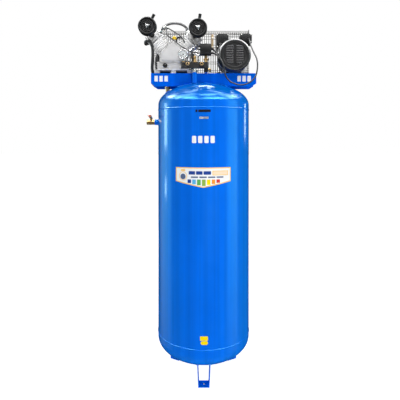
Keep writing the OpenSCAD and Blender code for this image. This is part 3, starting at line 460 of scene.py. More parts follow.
def tube(path, r, sides=16, wave=None):
    """Round bar along a path with a steady frame; wave(i) scales the radius."""
    bm = bmesh.new()
    n = len(path)
    tang = [(path[min(i + 1, n - 1)] - path[max(i - 1, 0)]).normalized() for i in range(n)]
    u = tang[0].orthogonal().normalized()
    rings = []
    for i in range(n):
        t = tang[i]
        u = (u - t * u.dot(t)).normalized()
        v = t.cross(u)
        rr = r * (wave(i) if wave else 1.0)
        rings.append([bm.verts.new(path[i] + rr * (math.cos(2 * math.pi * k / sides) * u + math.sin(2 * math.pi * k / sides) * v))
                      for k in range(sides)])
    for a, b in zip(rings, rings[1:]):
        for k in range(sides):
            bm.faces.new((a[k], a[(k + 1) % sides], b[(k + 1) % sides], b[k]))
    bm.faces.new(rings[0][::-1])
    bm.faces.new(rings[-1])
    return bm


def rod(p0, p1, r, sides=16, cham=0.4):
    p0, p1 = Vector(p0), Vector(p1)
    h = (p1 - p0).length
    c = min(cham, h * 0.3, r * 0.4)
    return lathe([(0, 0), (r - c, 0), (r, c), (r, h - c), (r - c, h), (0, h)], p0, p1 - p0, sides)


def bank_mtx(side, y):
    """Local frame of a cylinder bank: Z along the cylinder."""
    return Matrix.Translation((-170, y, 1774)) @ Matrix.Rotation(side * math.pi / 4, 4, "Y")


BANK_Y = (-22.0, 2.0)

# ------------------------------------------------------------------ CAD nodes that stay: finish and softened edges
def keep(node, mat, bevel=0.6):
    o = N[node]
    for s in o.material_slots:
        s.material = M[mat]
    if not o.material_slots:
        o.data.materials.append(M[mat])
    if bevel:
        w = o.modifiers.new("weld", "WELD")
        w.merge_threshold = 2e-5
        b = o.modifiers.new("soften", "BEVEL")
        b.width = bevel * MM
        b.segments = 2
        b.limit_method = "ANGLE"
        b.angle_limit = math.radians(40)
        b.use_clamp_overlap = True
        b.harden_normals = False


for n_, m_, b_ in (("front_leg", "blue", 1.0), ("left_leg", "blue", 1.0), ("right_leg", "blue", 1.0),
                   ("platform", "deep", 1.2), ("outlet_ball", "steel", 0.3), ("drain_cock_body", "brass", 0.5),
                   ("drain_cock_tap", "brass", 0.5), ("check_valve", "brass", 0.6), ("crankcase", "cast", 0.8),
                   ("crankshaft", "steel", 0.5), ("crank_bearings", "steel", 0.2), ("left_rod", "cast", 0.5),
                   ("right_rod", "cast", 0.5), ("left_piston", "alu", 0.2), ("right_piston", "alu", 0.2),
                   ("left_pins", "steel", 0.4), ("right_pins", "steel", 0.4), ("valve_plates", "steel", 0.5),
                   ("machine_bolts", "zinc", 0.5), ("flywheel", "iron", 0.8), ("motor_pulley", "iron", 0.6),
                   ("motor_body", "frame", 0.5), ("motor_rotor", "steel", 0.5), ("motor_end_bells", "alu", 0.8),
                   ("fan_cowl", "black", 0.8), ("motor_fan", "black", 0.5), ("guard_frame", "wire", 0.3),
                   ("manifold", "satin", 1.2), ("safety_ring", "chrome", 0.0), ("switch_knob", "black", 0.6),
                   ("outlet_socket", "blue", 0.8)):
    keep(n_, m_, b_)

# ------------------------------------------------------------------ receiver
R, WALL = 260.0, 4.0


def dish_profile(z0, sgn, flange=28.0, depth=125.0):
    n = 40
    out = [(R, z0)] + [(R * math.cos(math.pi / 2 * k / n), z0 + sgn * (flange + depth * math.sin(math.pi / 2 * k / n)))
                       for k in range(n + 1)]
    out[-1] = (0.0, z0 + sgn * (flange + depth))
    ri, di = R - WALL, depth - WALL
    inn = [(ri * math.cos(math.pi / 2 * k / n), z0 + sgn * (flange + di * math.sin(math.pi / 2 * k / n)))
           for k in range(n, -1, -1)]
    inn[0] = (0.0, z0 + sgn * (flange + di))
    return out + inn + [(ri, z0)]


def closed_lathe(profile, **kw):
    return lathe(profile + [profile[0]], **kw) if False else lathe(profile, closed=True, **kw)


make("receiver_shell", lathe([(R, 222), (R, 540), (R, 860), (R, 1180), (R, 1477), (R - WALL, 1477), (R - WALL, 222)],
                             seg=192, closed=True), "blue", rep=("tank_shell",))


def head_mesh(z0, sgn):
    p = dish_profile(z0, sgn)
    k = next(i for i in range(1, len(p)) if p[i][0] == 0.0)
    bm = lathe(p[:k + 1], seg=192)
    # lathe() caps the open end; the inner skin closes the plate
    for f in [f for f in bm.faces if len(f.verts) > 10]:
        bm.faces.remove(f)
    inner = lathe(p[k + 1:], seg=192)
    for f in [f for f in inner.faces if len(f.verts) > 10]:
        inner.faces.remove(f)
    join(bm, inner)
    loops = [e for e in bm.edges if len(e.link_faces) == 1]
    bmesh.ops.bridge_loops(bm, edges=loops)
    return bm


make("receiver_top_head", head_mesh(1477.0, 1), "blue", rep=("top_head",))
make("receiver_bottom_head", head_mesh(222.0, -1), "blue", rep=("bottom_head",))


def bead(path, r, flat=0.55, pitch=3.2, sides=10, closed=False):
    """Weld bead with overlapping ripples."""
    n = len(path)
    bm = bmesh.new()
    rings = []
    for i in range(n):
        a = path[(i - 1) % n] if closed else path[max(i - 1, 0)]
        b = path[(i + 1) % n] if closed else path[min(i + 1, n - 1)]
        t = (b - a).normalized()
        u = V(0, 0, 1) - t * t.z
        u = u.normalized() if u.length > 0.2 else t.orthogonal().normalized()
        v = t.cross(u)
        ph = (i * (path[1] - path[0]).length / pitch) % 1.0
        rr = r * (0.88 + 0.20 * math.sin(math.pi * ph) + 0.04 * math.sin(i * 0.37))
        rings.append([bm.verts.new(path[i] + rr * (math.cos(2 * math.pi * k / sides) * u
                                                   + math.sin(2 * math.pi * k / sides) * v)) for k in range(sides)])
    m = n if closed else n - 1
    for i in range(m):
        a, b = rings[i], rings[(i + 1) % n]
        for k in range(sides):
            bm.faces.new((a[k], a[(k + 1) % sides], b[(k + 1) % sides], b[k]))
    if not closed:
        bm.faces.new(rings[0][::-1])
        bm.faces.new(rings[-1])
    return bm


def ring_path(r, z, n, cx=0.0, cy=0.0):
    return [V(cx + r * math.cos(2 * math.pi * k / n), cy + r * math.sin(2 * math.pi * k / n), z) for k in range(n)]


def seam(name, z):
    """Low wide girth weld, rippled."""
    n = 720
    bm = bmesh.new()
    prof = [(-4.5, -0.6), (-3.2, 0.35), (-1.6, 1.0), (0, 1.25), (1.6, 1.0), (3.2, 0.35), (4.5, -0.6)]
    rings = []
    for i in range(n):
        a = 2 * math.pi * i / n
        ph = (i * 2 * math.pi * R / n / 5.0) % 1.0
        k = 1.35 + 0.40 * math.sin(math.pi * ph) + 0.10 * math.sin(i * 0.21)
        w = 0.25 * math.sin(i * 0.09)
        rings.append([bm.verts.new(((R + h * k) * math.cos(a), (R + h * k) * math.sin(a), z + dz + w)) for dz, h in prof])
    for i in range(n):
        a, b = rings[i], rings[(i + 1) % n]
        for k in range(len(prof) - 1):
            bm.faces.new((a[k], b[k], b[k + 1], a[k + 1]))
        bm.faces.new((a[-1], b[-1], b[0], a[0]))
    return make(name, bm, "blue", sharp=60)


seam("girth_weld_low", 222.0)
seam("girth_weld_high", 1477.0)
# long seam of the rolled shell, at the rear
make("long_seam_weld", bead([V(0, R + 0.1, z) for z in range(230, 1470, 2)], 2.6), "blue", sharp=60)


def dome_z(x, y, sgn=1):
    q = 1 - (x * x + y * y) / (R * R)
    return (1505 + 125 * math.sqrt(q)) if sgn > 0 else (194 - 125 * math.sqrt(q))


# fillet welds: platform skirts on the dome, sockets, riser, feet
beads = bmesh.new()
for y in (-71.2, 71.2):
    xs = [x for x in range(-148, 149, 2)]
    join(beads, bead([V(x, y, dome_z(x, abs(y)) + 0.6) for x in xs], 2.6))
for turn in (180, 60, -60):
    for s in (-1, 1):
        for off in (-2.6, 3.6):
            path = []
            for k in range(30):
                r = 151 + 2 * k
                t = s * (35.4 + off) if off > 0 else s * (35.4 - 5.0 + off + 0.8)
                a = math.radians(turn)
                x, y = -r * math.sin(a) + t * math.cos(a), r * math.cos(a) + t * math.sin(a)
                path.append(V(x, y, dome_z(x, y, -1) - 1.0))
            join(beads, bead(path, 2.2))
n = 60
join(beads, bead([V(-R - 0.2 - 0.0 + (17.0 * math.sin(2 * math.pi * k / n)) ** 2 / (2 * R), 18.2 * math.sin(2 * math.pi * k / n),
                    1409 + 18.2 * math.cos(2 * math.pi * k / n)) for k in range(n)], 2.4, closed=True))
join(beads, bead([V(-50 + 14 * math.cos(2 * math.pi * k / n), -105 + 14 * math.sin(2 * math.pi * k / n),
                    dome_z(-50 + 14 * math.cos(2 * math.pi * k / n), -105 + 14 * math.sin(2 * math.pi * k / n)) + 0.8)
                  for k in range(n)], 2.3, closed=True))
join(beads, bead([V(-205 + 13 * math.cos(2 * math.pi * k / n), -30 + 13 * math.sin(2 * math.pi * k / n),
                    dome_z(-205 + 13 * math.cos(2 * math.pi * k / n), -30 + 13 * math.sin(2 * math.pi * k / n)) + 0.8)
                  for k in range(n)], 2.3, closed=True))
make("fillet_welds", beads, "blue", sharp=60)
# riser to the manifold: painted with the tank below, bare union above
make("riser_lower", lathe([(6, 1620), (13, 1620), (13, 1677.5), (12.4, 1678.2), (6, 1678.2)], (-50, -105, 0), seg=48, closed=True),
     "blue", rep=("riser_pipe",))
ru_ = lathe(rcorner([(6, 1678.2), (12.9, 1678.2), (12.9, 1680), (8.9, 1692.5), (8.9, 1709), (6, 1709), (6, 1678.2)], 0), (-50, -105, 0), seg=48, closed=False)
join(ru_, hexa(29, 12, (-50, -105, 1680), (0, 0, 1)))
make("riser_union", ru_, "zinc")


# flat shapes laid on the shell: outline in arc length u and height z
def on_shell(name, polys, mat, lift=0.25, thick=0.35, body="root"):
    bm = bmesh.new()
    for pts in polys:
        b = bmesh.new()
        vs = [b.verts.new((p[0], 0, p[1])) for p in pts]
        b.faces.new(vs)
        us = [p[0] for p in pts]
        u = math.ceil(min(us) / 6.0) * 6.0 + 0.013
        while u < max(us):
            bmesh.ops.bisect_plane(b, geom=b.verts[:] + b.edges[:] + b.faces[:], plane_co=(u, 0, 0), plane_no=(1, 0, 0))
            u += 6.0
        r = bmesh.ops.extrude_face_region(b, geom=b.faces[:])
        top = [g for g in r["geom"] if isinstance(g, bmesh.types.BMVert)]
        bmesh.ops.translate(b, vec=(0, -thick, 0), verts=top)
        for v in b.verts:
            a = v.co.x / R
            rad = R + lift - v.co.y
            v.co = Vector((rad * math.sin(a), -rad * math.cos(a), v.co.z))
        join(bm, b)
    return make(name, bm, mat, body, sharp=30)


def rrect(u0, u1, z0, z1, r=2.0, n=4, slant=0.0):
    out = []
    for cu, cz, a0 in ((u1 - r, z0 + r, -90), (u1 - r, z1 - r, 0), (u0 + r, z1 - r, 90), (u0 + r, z0 + r, 180)):
        for k in range(n + 1):
            a = math.radians(a0 + 90 * k / n)
            out.append((cu + r * math.cos(a) + slant * (cz + r * math.sin(a) - z0), cz + r * math.sin(a)))
    return out


def badge(g):
    """Plain plate with a shallow pointed foot, shrunk by g."""
    return [(148 - g, 1091.3 + 0.82 * g), (148 - g, 1165 - g), (-156 + g, 1165 - g), (-156 + g, 1091.3 + 0.82 * g), (-4, 1060.4 + g)]


def foot_z(u):
    return 1060.4 + 5.6 + abs(u + 4) * 0.2035


on_shell("badge_border", [badge(0)], "gold", 0.15, 0.25)
on_shell("badge_field", [badge(5.4)], "white", 0.42, 0.12)
on_shell("badge_bar_dark", [rrect(-80, -46, 1128, 1146, 3), rrect(-41, -7, 1128, 1146, 3), rrect(-2, 37, 1128, 1146, 3)], "navy", 0.56, 0.10)
on_shell("badge_bar_gold", [rrect(44, 131, 1124, 1148, 3)], "cream", 0.56, 0.10)
on_shell("badge_bar_edge", [rrect(44, 131, 1124, 1127, 1), rrect(44, 131, 1145, 1148, 1), rrect(44, 48, 1125, 1147, 1), rrect(127.5, 131, 1125, 1147, 1)],
         "gold", 0.68, 0.08)
on_shell("badge_line", [rrect(-68 + 44.6 * k, -68 + 44.6 * k + 38, 1111, 1118.5, 2) for k in range(4)], "slate", 0.56, 0.10)
for i_, c_ in enumerate(("navy", "sky", "green", "leaf", "lemon", "orange", "red")):
    u_ = -86 + i_ * 25.2
    lo_ = max(foot_z(u_ + 2) , foot_z(u_ + 18)) + 1.5
    on_shell(f"badge_block_{i_}", [rrect(u_, u_ + 19, min(lo_, 1094), 1103, 1.5)], c_, 0.56, 0.10)


def disc(u, z, r, r_in=0.0):
    """Disc or ring of small wedges."""
    n_ = 40
    if r_in <= 0:
        return [[(u + r * math.cos(2 * math.pi * k / n_), z + r * math.sin(2 * math.pi * k / n_)) for k in range(n_)]]
    out = []
    for k in range(n_):
        a, b = 2 * math.pi * k / n_, 2 * math.pi * (k + 1) / n_
        out.append([(u + r_in * math.cos(a), z + r_in * math.sin(a)), (u + r * math.cos(a), z + r * math.sin(a)),
                    (u + r * math.cos(b), z + r * math.sin(b)), (u + r_in * math.cos(b), z + r_in * math.sin(b))])
    return out


on_shell("badge_ring", disc(-112, 1120, 23, 20), "gold", 0.56, 0.10)
on_shell("badge_disc", disc(-112, 1117, 15), "slate", 0.56, 0.10)
on_shell("badge_cap", [rrect(-125, -99, 1146, 1155, 3)], "gold", 0.56, 0.10)
# capacity mark replaced by plain bars, and a plain yellow sticker
on_shell("level_bars", [rrect(-62 + 32 * k, -62 + 32 * k + 22, 1291, 1328, 5) for k in range(4)], "white")
on_shell("sticker_yellow", [rrect(-20.3, 20.5, 273.5, 296, 4), rrect(-16.5, 20, 252, 271.5, 8)], "lemon")
# label strips
on_shell("strip_short", [rrect(-44, -33.6, 1450.5, 1463.5, 1.0)], "ink", 0.06, 0.6)
s_ = on_shell("strip_long", [rrect(-29, 35, 1450.5, 1463.5, 1.0)], "ink", 0.06, 0.6)
p_ = on_shell("data_plate", [rrect(-23.2, 23.2, 1416, 1427, 1.5)], "silverface", 0.06, 0.8)
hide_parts("data_plates")
for u_ in (-20.6, 20.6):
    a_ = u_ / R
    d_ = V(math.sin(a_), -math.cos(a_), 0)
    make(f"plate_rivet_{'l' if u_ < 0 else 'r'}", lathe([(0, 0), (1.5, 0), (1.3, 0.6), (0.7, 0.95), (0, 1.0)],
         d_ * (R + 0.8) + V(0, 0, 1421.5), d_, 16), "alu")


# power marks on the platform replaced by plain bars
def on_skirt(name, boxes, mat):
    bm = bmesh.new()
    for (x0, x1, z0, z1) in boxes:
        pts = rrect(x0, x1, z0, z1, 3.0)
        join(bm, prism(pts, -70.5, -70.02, 0))
    return make(name, bm, mat)


on_skirt("power_bars_left", [(-276 + 28 * k, -276 + 28 * k + 19, 1634, 1666) for k in range(3)], "white")
on_skirt("power_bars_right", [(190 + 28 * k, 190 + 28 * k + 19, 1634, 1666) for k in range(3)], "white")

# ------------------------------------------------------------------ outlet valve
vb = bmesh.new()
X = V(-1, 0, 0)
join(vb, rod((-266, 0, 1409), (-281, 0, 1409), 12.9, 48))
join(vb, hexa(30, 8, (-281, 0, 1409), X))
join(vb, lathe(rcorner([(0, 0), (14.3, 0), (15.4, 4), (15.4, 24), (14.3, 28), (0, 28)], 1.5), (-289, 0, 1409), X, 64))
bore_ = hexa(30, 10, (-317, 0, 1409), X)
join(vb, bore_)
join(vb, lathe(rcorner([(0, 0), (9.5, 0), (8.2, 6), (8.2, 13), (0, 13)], 1.2), (-303, 0, 1417), V(0, 0, 1), 40))
join(vb, lathe([(10.2, 0), (12.6, 0), (12.6, 0.9), (10.2, 0.9)], (-327, 0, 1409), X, 48, closed=True))
make("outlet_valve_brass", vb, "brass", rep=("outlet_valve_body",))
make("outlet_valve_bore", lathe([(0, 0), (10.1, 0), (10.1, 0.25), (0, 0.25)], (-327.05, 0, 1409), X, 48), "ink")

lev = bmesh.new()
prof_ = [(0, -100, 31.0)]
join(lev, lathe([(4.1, 0), (9, 0), (9, 3), (4.1, 3)], (-303, 0, 1431), V(0, 0, 1), 40, closed=True))
pl = bmesh.new()
cl = [V(-303, 6, 1432.5), V(-303, -28, 1432.5), V(-303, -33, 1433.4), V(-303, -37.5, 1439), V(-303, -42, 1441.2), V(-303, -97, 1441.5)]
cl = smooth_path(cl, 5)
rings_ = []
for i, c in enumerate(cl):
    w = 7.0 if c.y < -8 else 7.0
    t = (cl[min(i + 1, len(cl) - 1)] - cl[max(i - 1, 0)]).normalized()
    nrm = V(1, 0, 0).cross(t).normalized()
    rings_.append([pl.verts.new(c + V(sx * w, 0, 0) + nrm * sn * 1.4) for sx, sn in ((-1, -1), (1, -1), (1, 1), (-1, 1))])
for a, b in zip(rings_, rings_[1:]):
    for k in range(4):
        pl.faces.new((a[k], a[(k + 1) % 4], b[(k + 1) % 4], b[k]))
pl.faces.new(rings_[0][::-1])
pl.faces.new(rings_[-1])
join(lev, pl)
join(lev, hexa(11, 4.6, (-303, 0, 1434.05), V(0, 0, 1), 0.8))
make("valve_lever_plate", lev, "zinc", "outlet_handle", rep=("outlet_lever",))
g = bmesh.new()
sec = []
m_ = 28
for j in range(15):
    y = -101.5 + j * (59.0 / 14)
    e = min(1.0, math.sin(math.pi * min(0.5, (j + 0.6) / 5))) if j < 3 else 1.0
    rib = 1.0 + 0.035 * math.cos(j * math.pi)
    sec.append([g.verts.new((-303 + 8.6 * e * rib * math.cos(2 * math.pi * k / m_) * (0.9 + 0.1 * abs(math.cos(2 * math.pi * k / m_))),
                             y, 1441.4 + 5.0 * e * rib * math.sin(2 * math.pi * k / m_))) for k in range(m_)])
for a, b in zip(sec, sec[1:]):
    for k in range(m_):
        g.faces.new((a[k], a[(k + 1) % m_], b[(k + 1) % m_], b[k]))
g.faces.new(sec[0][::-1])
g.faces.new(sec[-1])
make("valve_lever_grip", g, "grip", "outlet_handle", rep=("lever_grip",), sharp=50)

# ------------------------------------------------------------------ pump
def rsq(half, rad, z, n=10):
    """Rounded square ring in X-Y at height z."""
    out = []
    c = half - rad
    for q in range(4):
        a0 = q * math.pi / 2
        cx, cy = (c if q in (0, 3) else -c), (c if q in (0, 1) else -c)
        for k in range(n):
            a = a0 + math.pi / 2 * k / (n - 1)
            out.append(V(cx + rad * math.cos(a), cy + rad * math.sin(a), z))
    return out


def loft(sections, mtx):
    bm = bmesh.new()
    rings = [[bm.verts.new(p) for p in s] for s in sections]
    for a, b in zip(rings, rings[1:]):
        for k in range(len(a)):
            bm.faces.new((a[k], a[(k + 1) % len(a)], b[(k + 1) % len(a)], b[k]))
    bm.faces.new(rings[0][::-1])
    bm.faces.new(rings[-1])
    bmesh.ops.transform(bm, matrix=mtx, verts=bm.verts[:])
    return bm


def bored(sections, r, mtx):
    """Loft with a round bore of radius r right through it."""
    bm = bmesh.new()
    cut = [rsq(r, r, sections[-1][0].z), rsq(r, r, sections[0][0].z)]
    rings = [[bm.verts.new(p) for p in s] for s in sections + cut]
    for a, b in zip(rings, rings[1:] + rings[:1]):
        for k in range(len(a)):
            bm.faces.new((a[k], a[(k + 1) % len(a)], b[(k + 1) % len(a)], b[k]))
    bmesh.ops.remove_doubles(bm, verts=bm.verts[:], dist=1e-3)
    bmesh.ops.transform(bm, matrix=mtx, verts=bm.verts[:])
    return bm


for side, y, nm in ((-1, BANK_Y[0], "left"), (1, BANK_Y[1], "right")):
    m = bank_mtx(side, y)
    sec = [rsq(37.8, 37.8, 52.2), rsq(37.8, 37.8, 64.4), rsq(49, 26, 64.6), rsq(49.6, 26, 65.4), rsq(49.6, 26, 70), rsq(49, 26, 70.8), rsq(40, 38, 72.5)]
    for k in range(4):
        z = 75 + 12.5 * k
        h = 47.3 + 0.4 * math.sin(k * 1.3)
        sec += [rsq(39, 37, z - 0.4), rsq(h - 1.4, 27, z + 0.9), rsq(h, 28, z + 2.0), rsq(h, 28, z + 4.4),
                rsq(h - 1.4, 27, z + 5.5), rsq(39, 37, z + 6.8)]
    sec += [rsq(40, 38, 123.2), rsq(46.6, 20, 124), rsq(47, 20, 124.6), rsq(47, 20, 130.4), rsq(46.6, 20, 131)]
    make(f"{nm}_barrel_fins", bored(sec, 33.0, m), "fin", rep=(f"{nm}_cylinder",), sharp=50)
    # head: flange, chamber, tall fins, bosses
    hb = bmesh.new()
    join(hb, loft([rsq(44.4, 14, 137.05), rsq(45, 14, 137.7), rsq(45, 14, 148.2), rsq(44.4, 14, 149)], m))
    join(hb, loft([rsq(27, 8, 148), rsq(27, 8, 176), rsq(26, 8, 181)], m))
    join(hb, rbox((76, 54, 30), (0, 0, 163), 2.5, 3, m))
    join(hb, rbox((54, 80, 30), (0, 0, 163), 2.5, 3, m))
    for k in range(-3, 4):
        hh = 18 - abs(k) * 0.6
        join(hb, rbox((3.2, 58 if abs(k) == 3 else 82, hh), (k * 11, 0, 178.5 + hh / 2), 1.3, 2, m))
    for s in (-1, 1):
        for k in range(4):
            join(hb, rbox((6, 3, 24), (s * 40.2, -21 + 14 * k, 163), 1.2, 2, m))
    join(hb, lathe(rcorner([(0, 0), (15, 0), (15, 17), (0, 17)], 1.5), m @ V(0, -29, 168), m.to_3x3() @ V(0, -1, 0), 40))
    join(hb, lathe(rcorner([(0, 0), (12.5, 0), (12.5, 14), (0, 14)], 1.2), m @ V(-side * 30, 0, 165), m.to_3x3() @ V(-side, 0, 0), 40))
    join(hb, lathe(rcorner([(0, 0), (10.2, 0), (10.2, 14), (0, 14)], 1.2), m @ V(side * 30, 0, 168), m.to_3x3() @ V(side, 0, 0), 40))
    make(f"{nm}_head_casting", hb, "cast", rep=(f"{nm}_head",))
    gk = loft([rsq(45.2, 14, 130.95), rsq(45.2, 14, 131.25)], m)
    join(gk, loft([rsq(45.2, 14, 136.75), rsq(45.2, 14, 137.1)], m))
    make(f"{nm}_gaskets", gk, "ink")

# front cover: rounded pentagon, stepped, with screws
def outline(o, rad):
    p = [(-75 + o, -34 + o), (75 - o, -34 + o), (75 - o, 16 - 0.41 * o), (9 - 0.41 * o, 82 - o), (-9 + 0.41 * o, 82 - o),
         (-75 + o, 16 - 0.41 * o)]
    q = [p[-1]] + p + [p[0]]
    out = []
    for i in range(1, len(q) - 1):
        seg_ = rcorner([q[i - 1], q[i], q[i + 1]], [0, rad, 0], 6)
        out += seg_[1:-1]
    return [(-170 + a, 1774 + b) for a, b in out]


fc = prism(outline(0.3, 11), -93.2, -85.1, 1.6, 3)
join(fc, prism(outline(7.5, 16), -99.4, -92.5, 3.4, 4))
make("front_cover_casting", fc, "cast", rep=("front_cover",))
sc = bmesh.new()
for dx, dz in ((-70.8, -29.6), (70.8, -29.6), (-70.8, 14), (70.8, 14), (-40, 47.3), (40, 47.3), (0, 77.6), (0, -29.8), (-70.8, -8), (70.8, -8)):
    join(sc, lathe([(1.6, 0.8), (1.6, 2.6), (2.6, 2.8), (2.8, 2.4), (2.8, 0), (0, 0), (0, 0.8)], (-170 + dx, -93.1, 1774 + dz), (0, -1, 0), 20))
make("front_cover_screws", sc, "zinc")
sg = lathe(rcorner([(9.0, 0), (12.4, 0), (12.4, 5.5), (10.2, 7.6), (7.4, 7.6), (7.0, 5.4), (7.0, 4.2)], 0.6), (-214, -91.2, 1720), (0, -1, 0), 6 * 8)
for f in [f for f in sg.faces if len(f.verts) > 10]:
    sg.faces.remove(f)
s1_ = make("sight_glass_ring", sg, "black", rep=("sight_glass",))
make("sight_glass_lens", lathe([(0, 0), (7.1, 0), (7.0, 1.0), (4, 1.8), (0, 2.0)], (-214, -95.2, 1720), (0, -1, 0), 40),
     finish_mat("sight_lens", (0.012, 0.010, 0.008), rough=0.06, coat=1.0, bump=0.02, var=0.1))
make("sight_glass_ticks", rbox((5, 0.4, 0.8), (-214, -97.2, 1720), 0.1, 1), "ink")
dp = hexa(13, 6, (-214 + 88, -85.2, 1709), (0, -1, 0))
join(dp, lathe([(0, 0), (8, 0), (8, 1.4), (0, 1.4)], (-214 + 88, -84.6, 1709), (0, -1, 0), 32))
make("oil_drain_screw", dp, "zinc")
fcap = bmesh.new()
join(fcap, lathe(rcorner([(0, 29.4), (10.4, 29.4), (12, 30.4), (12, 43.5), (10.5, 45.6), (7.2, 46), (7.2, 50), (6, 51), (0, 51)], 0.8), (-170, 0, 1856.1), (0, 0, 1), 48))
for k in range(20):
    a = 2 * math.pi * k / 20
    join(fcap, rod((-170 + 11.7 * math.cos(a), 11.7 * math.sin(a), 1888), (-170 + 11.7 * math.cos(a), 11.7 * math.sin(a), 1898.5), 0.9, 8))
make("filler_cap_knurled", fcap, "yellow", rep=("filler_cap",))
make("filler_neck", lathe(rcorner([(0, 0), (9.4, 0), (9.4, 4), (7.4, 6), (7.4, 29.8), (0, 29.8)], 0.8), (-170, 0, 1856.1), (0, 0, 1), 40), "cast")
# breather beside it: black elbow on a stub in the case top
br = bmesh.new()
join(br, rod((-157, 22, 1836), (-157, 22, 1886), 4.6, 24))
join(br, tube(smooth_path([(-157, 22, 1882), (-157, 20, 1893), (-151, 14, 1900), (-142, 8, 1901), (-134, 5, 1897)], 6), 5.2, 18))
join(br, hexa(13, 7, (-157, 22, 1846), (0, 0, 1)))
make("breather_elbow", br, "black")

# foot pads and cast ribs under the crankcase
rb = bmesh.new()
for xx in (-91, 91):
    for yy in (-40, -10, 20, 50):
        join(rb, prism([(-170 + xx - (3 if xx < 0 else -3) * 0, 1699.2), (-170 + xx * 1.13, 1699.2), (-170 + xx * 0.97, 1716)] if xx > 0
                       else [(-170 + xx * 0.97, 1716), (-170 + xx * 1.13, 1699.2), (-170 + xx, 1699.2)], yy - 2, yy + 2, 0.8, 2))
for zz in (1707, 1716, 1725, 1734):
    join(rb, rod((-256, -85.6, zz), (-84, -85.6, zz), 1.7, 12, 0.6))
make("crankcase_webs", rb, "cast")


# ------------------------------------------------------------------ air filters
def filter_vis(side, y, nm, lean, reach):
    m = bank_mtx(side, 0)
    c = m @ (V(8.5, 0, 200) if side < 0 else V(0, 0, 196))
    F = V(0, -1, 0)
    body = lathe(rcorner([(0, 128), (43, 128), (47, 131), (50, 133), (50, 144.5), (48.2, 146), (48.2, 151), (50, 152.5),
                          (50, 163.5), (47.5, 168.5), (43, 170), (40, 168.6), (38.5, 164), (34, 163.4), (32.5, 165.6), (30, 165.6),
                          (28.5, 163.4), (25, 163.2), (23.5, 165.4), (21, 165.4), (19.5, 163.2), (15, 163.2), (14, 166.4),
                          (10, 167), (9, 165.2), (0, 165)], 1.1, 3), (c.x, 0, c.z), F, 128)
    # louvre ribs round the rim
    for k in range(72):
        a = 2 * math.pi * k / 72
        u = V(math.cos(a), 0, math.sin(a))
        p = V(c.x, 0, c.z) + u * 48.6
        mt = Matrix.Translation(p) @ Matrix.Rotation(-a, 4, "Y")
        join(body, rbox((2.4, 10, 1.3), (0, -138.8, 0), 0.4, 1, mt))
    # cross pattern of fine ribs on the face
    for k in range(36):
        a = 2 * math.pi * k / 36
        mt = Matrix.Translation((c.x, 0, c.z)) @ Matrix.Rotation(-a, 4, "Y")
        join(body, rbox((3.6, 2.0, 1.0), (36.3, -164.4, 0), 0.3, 1, mt))
        join(body, rbox((2.8, 1.6, 1.0), (26.9, -163.8, 0), 0.3, 1, mt))
    ang = math.radians(lean)
    d = V(math.sin(ang), 0, math.cos(ang))
    base = V(c.x, -140, c.z)
    p0, p1 = base + d * 46, base + d * (46 + reach)
    sp = lathe(rcorner([(6.6, 2), (6.6, reach - 0.8), (7.6, reach), (8.4, reach), (9.0, reach - 1.4), (9.0, reach - 5), (8.3, reach - 6.2), (8.3, 8),
                        (9.6, 4.5), (10.5, 0), (6.6, 0)], 0.4, 2), p0, d, 40, closed=True)
    join(body, sp)
    join(body, lathe([(0, 0), (6.7, 0), (6.7, 0.4), (0, 0.4)], p0 + d * (reach - 14), d, 32))
    # neck to the head
    n0 = m @ V(0, 0, 168)
    join(body, lathe(rcorner([(0, 0), (13.5, 0), (13.5, 8), (11.6, 10), (11.6, 128 - abs(y - 46.2) - 6), (0, 128 - abs(y - 46.2) - 6)], 1, 3),
                     (n0.x, y - 46.2, n0.z), F, 40))
    make(f"{nm}_filter_can", body, "black", rep=(f"{nm}_filter",))
    # clip and wing nut
    wn = lathe(rcorner([(0, 0), (9, 0), (9, 1.5), (6, 2), (5.2, 5), (3, 6.5), (0, 6.5)], 0.5), (c.x, -165, c.z), F, 40)
    rot = Matrix.Translation((c.x, -168.2, c.z)) @ Matrix.Rotation(math.radians(18 if side < 0 else -4), 4, "Y")
    for a in (90, 210, 330):
        join(wn, rbox((13, 2.4, 6.0), (8.5, 0, 0), 1.1, 3, rot @ Matrix.Rotation(math.radians(a), 4, "Y")))
    make(f"{nm}_filter_wing_nut", wn, "alu")
    # hose clip on the neck
    make(f"{nm}_filter_clip", lathe([(12.2, -2.5), (14.4, -2.5), (14.4, 2.5), (12.2, 2.5)], (n0.x, y - 56, n0.z), F, 40, closed=True), "zinc")


filter_vis(-1, BANK_Y[0], "left", 27, 31)
filter_vis(1, BANK_Y[1], "right", 8.5, 34)


# ------------------------------------------------------------------ pipes
def piped(name, pts, r, mat, rep=(), nuts=(), n=8, sides=20):
    p = smooth_path(pts, n)
    make(name, tube(p, r, sides), mat, rep=rep, sharp=60)
    nb = bmesh.new()
    for end, af, h in nuts:
        a, b = (p[0], p[2]) if end == 0 else (p[-1], p[-3])
        join(nb, hexa(af, h, a, (b - a).normalized(), 1.2))
        join(nb, lathe([(r + 0.1, h), (af / 2 - 1.5, h), (r + 0.8, h + 4), (r + 0.1, h + 4)], a, (b - a).normalized(), 32, closed=True))
    if nuts:
        make(name + "_nuts", nb, "zinc" if mat == "arch" else "satin")


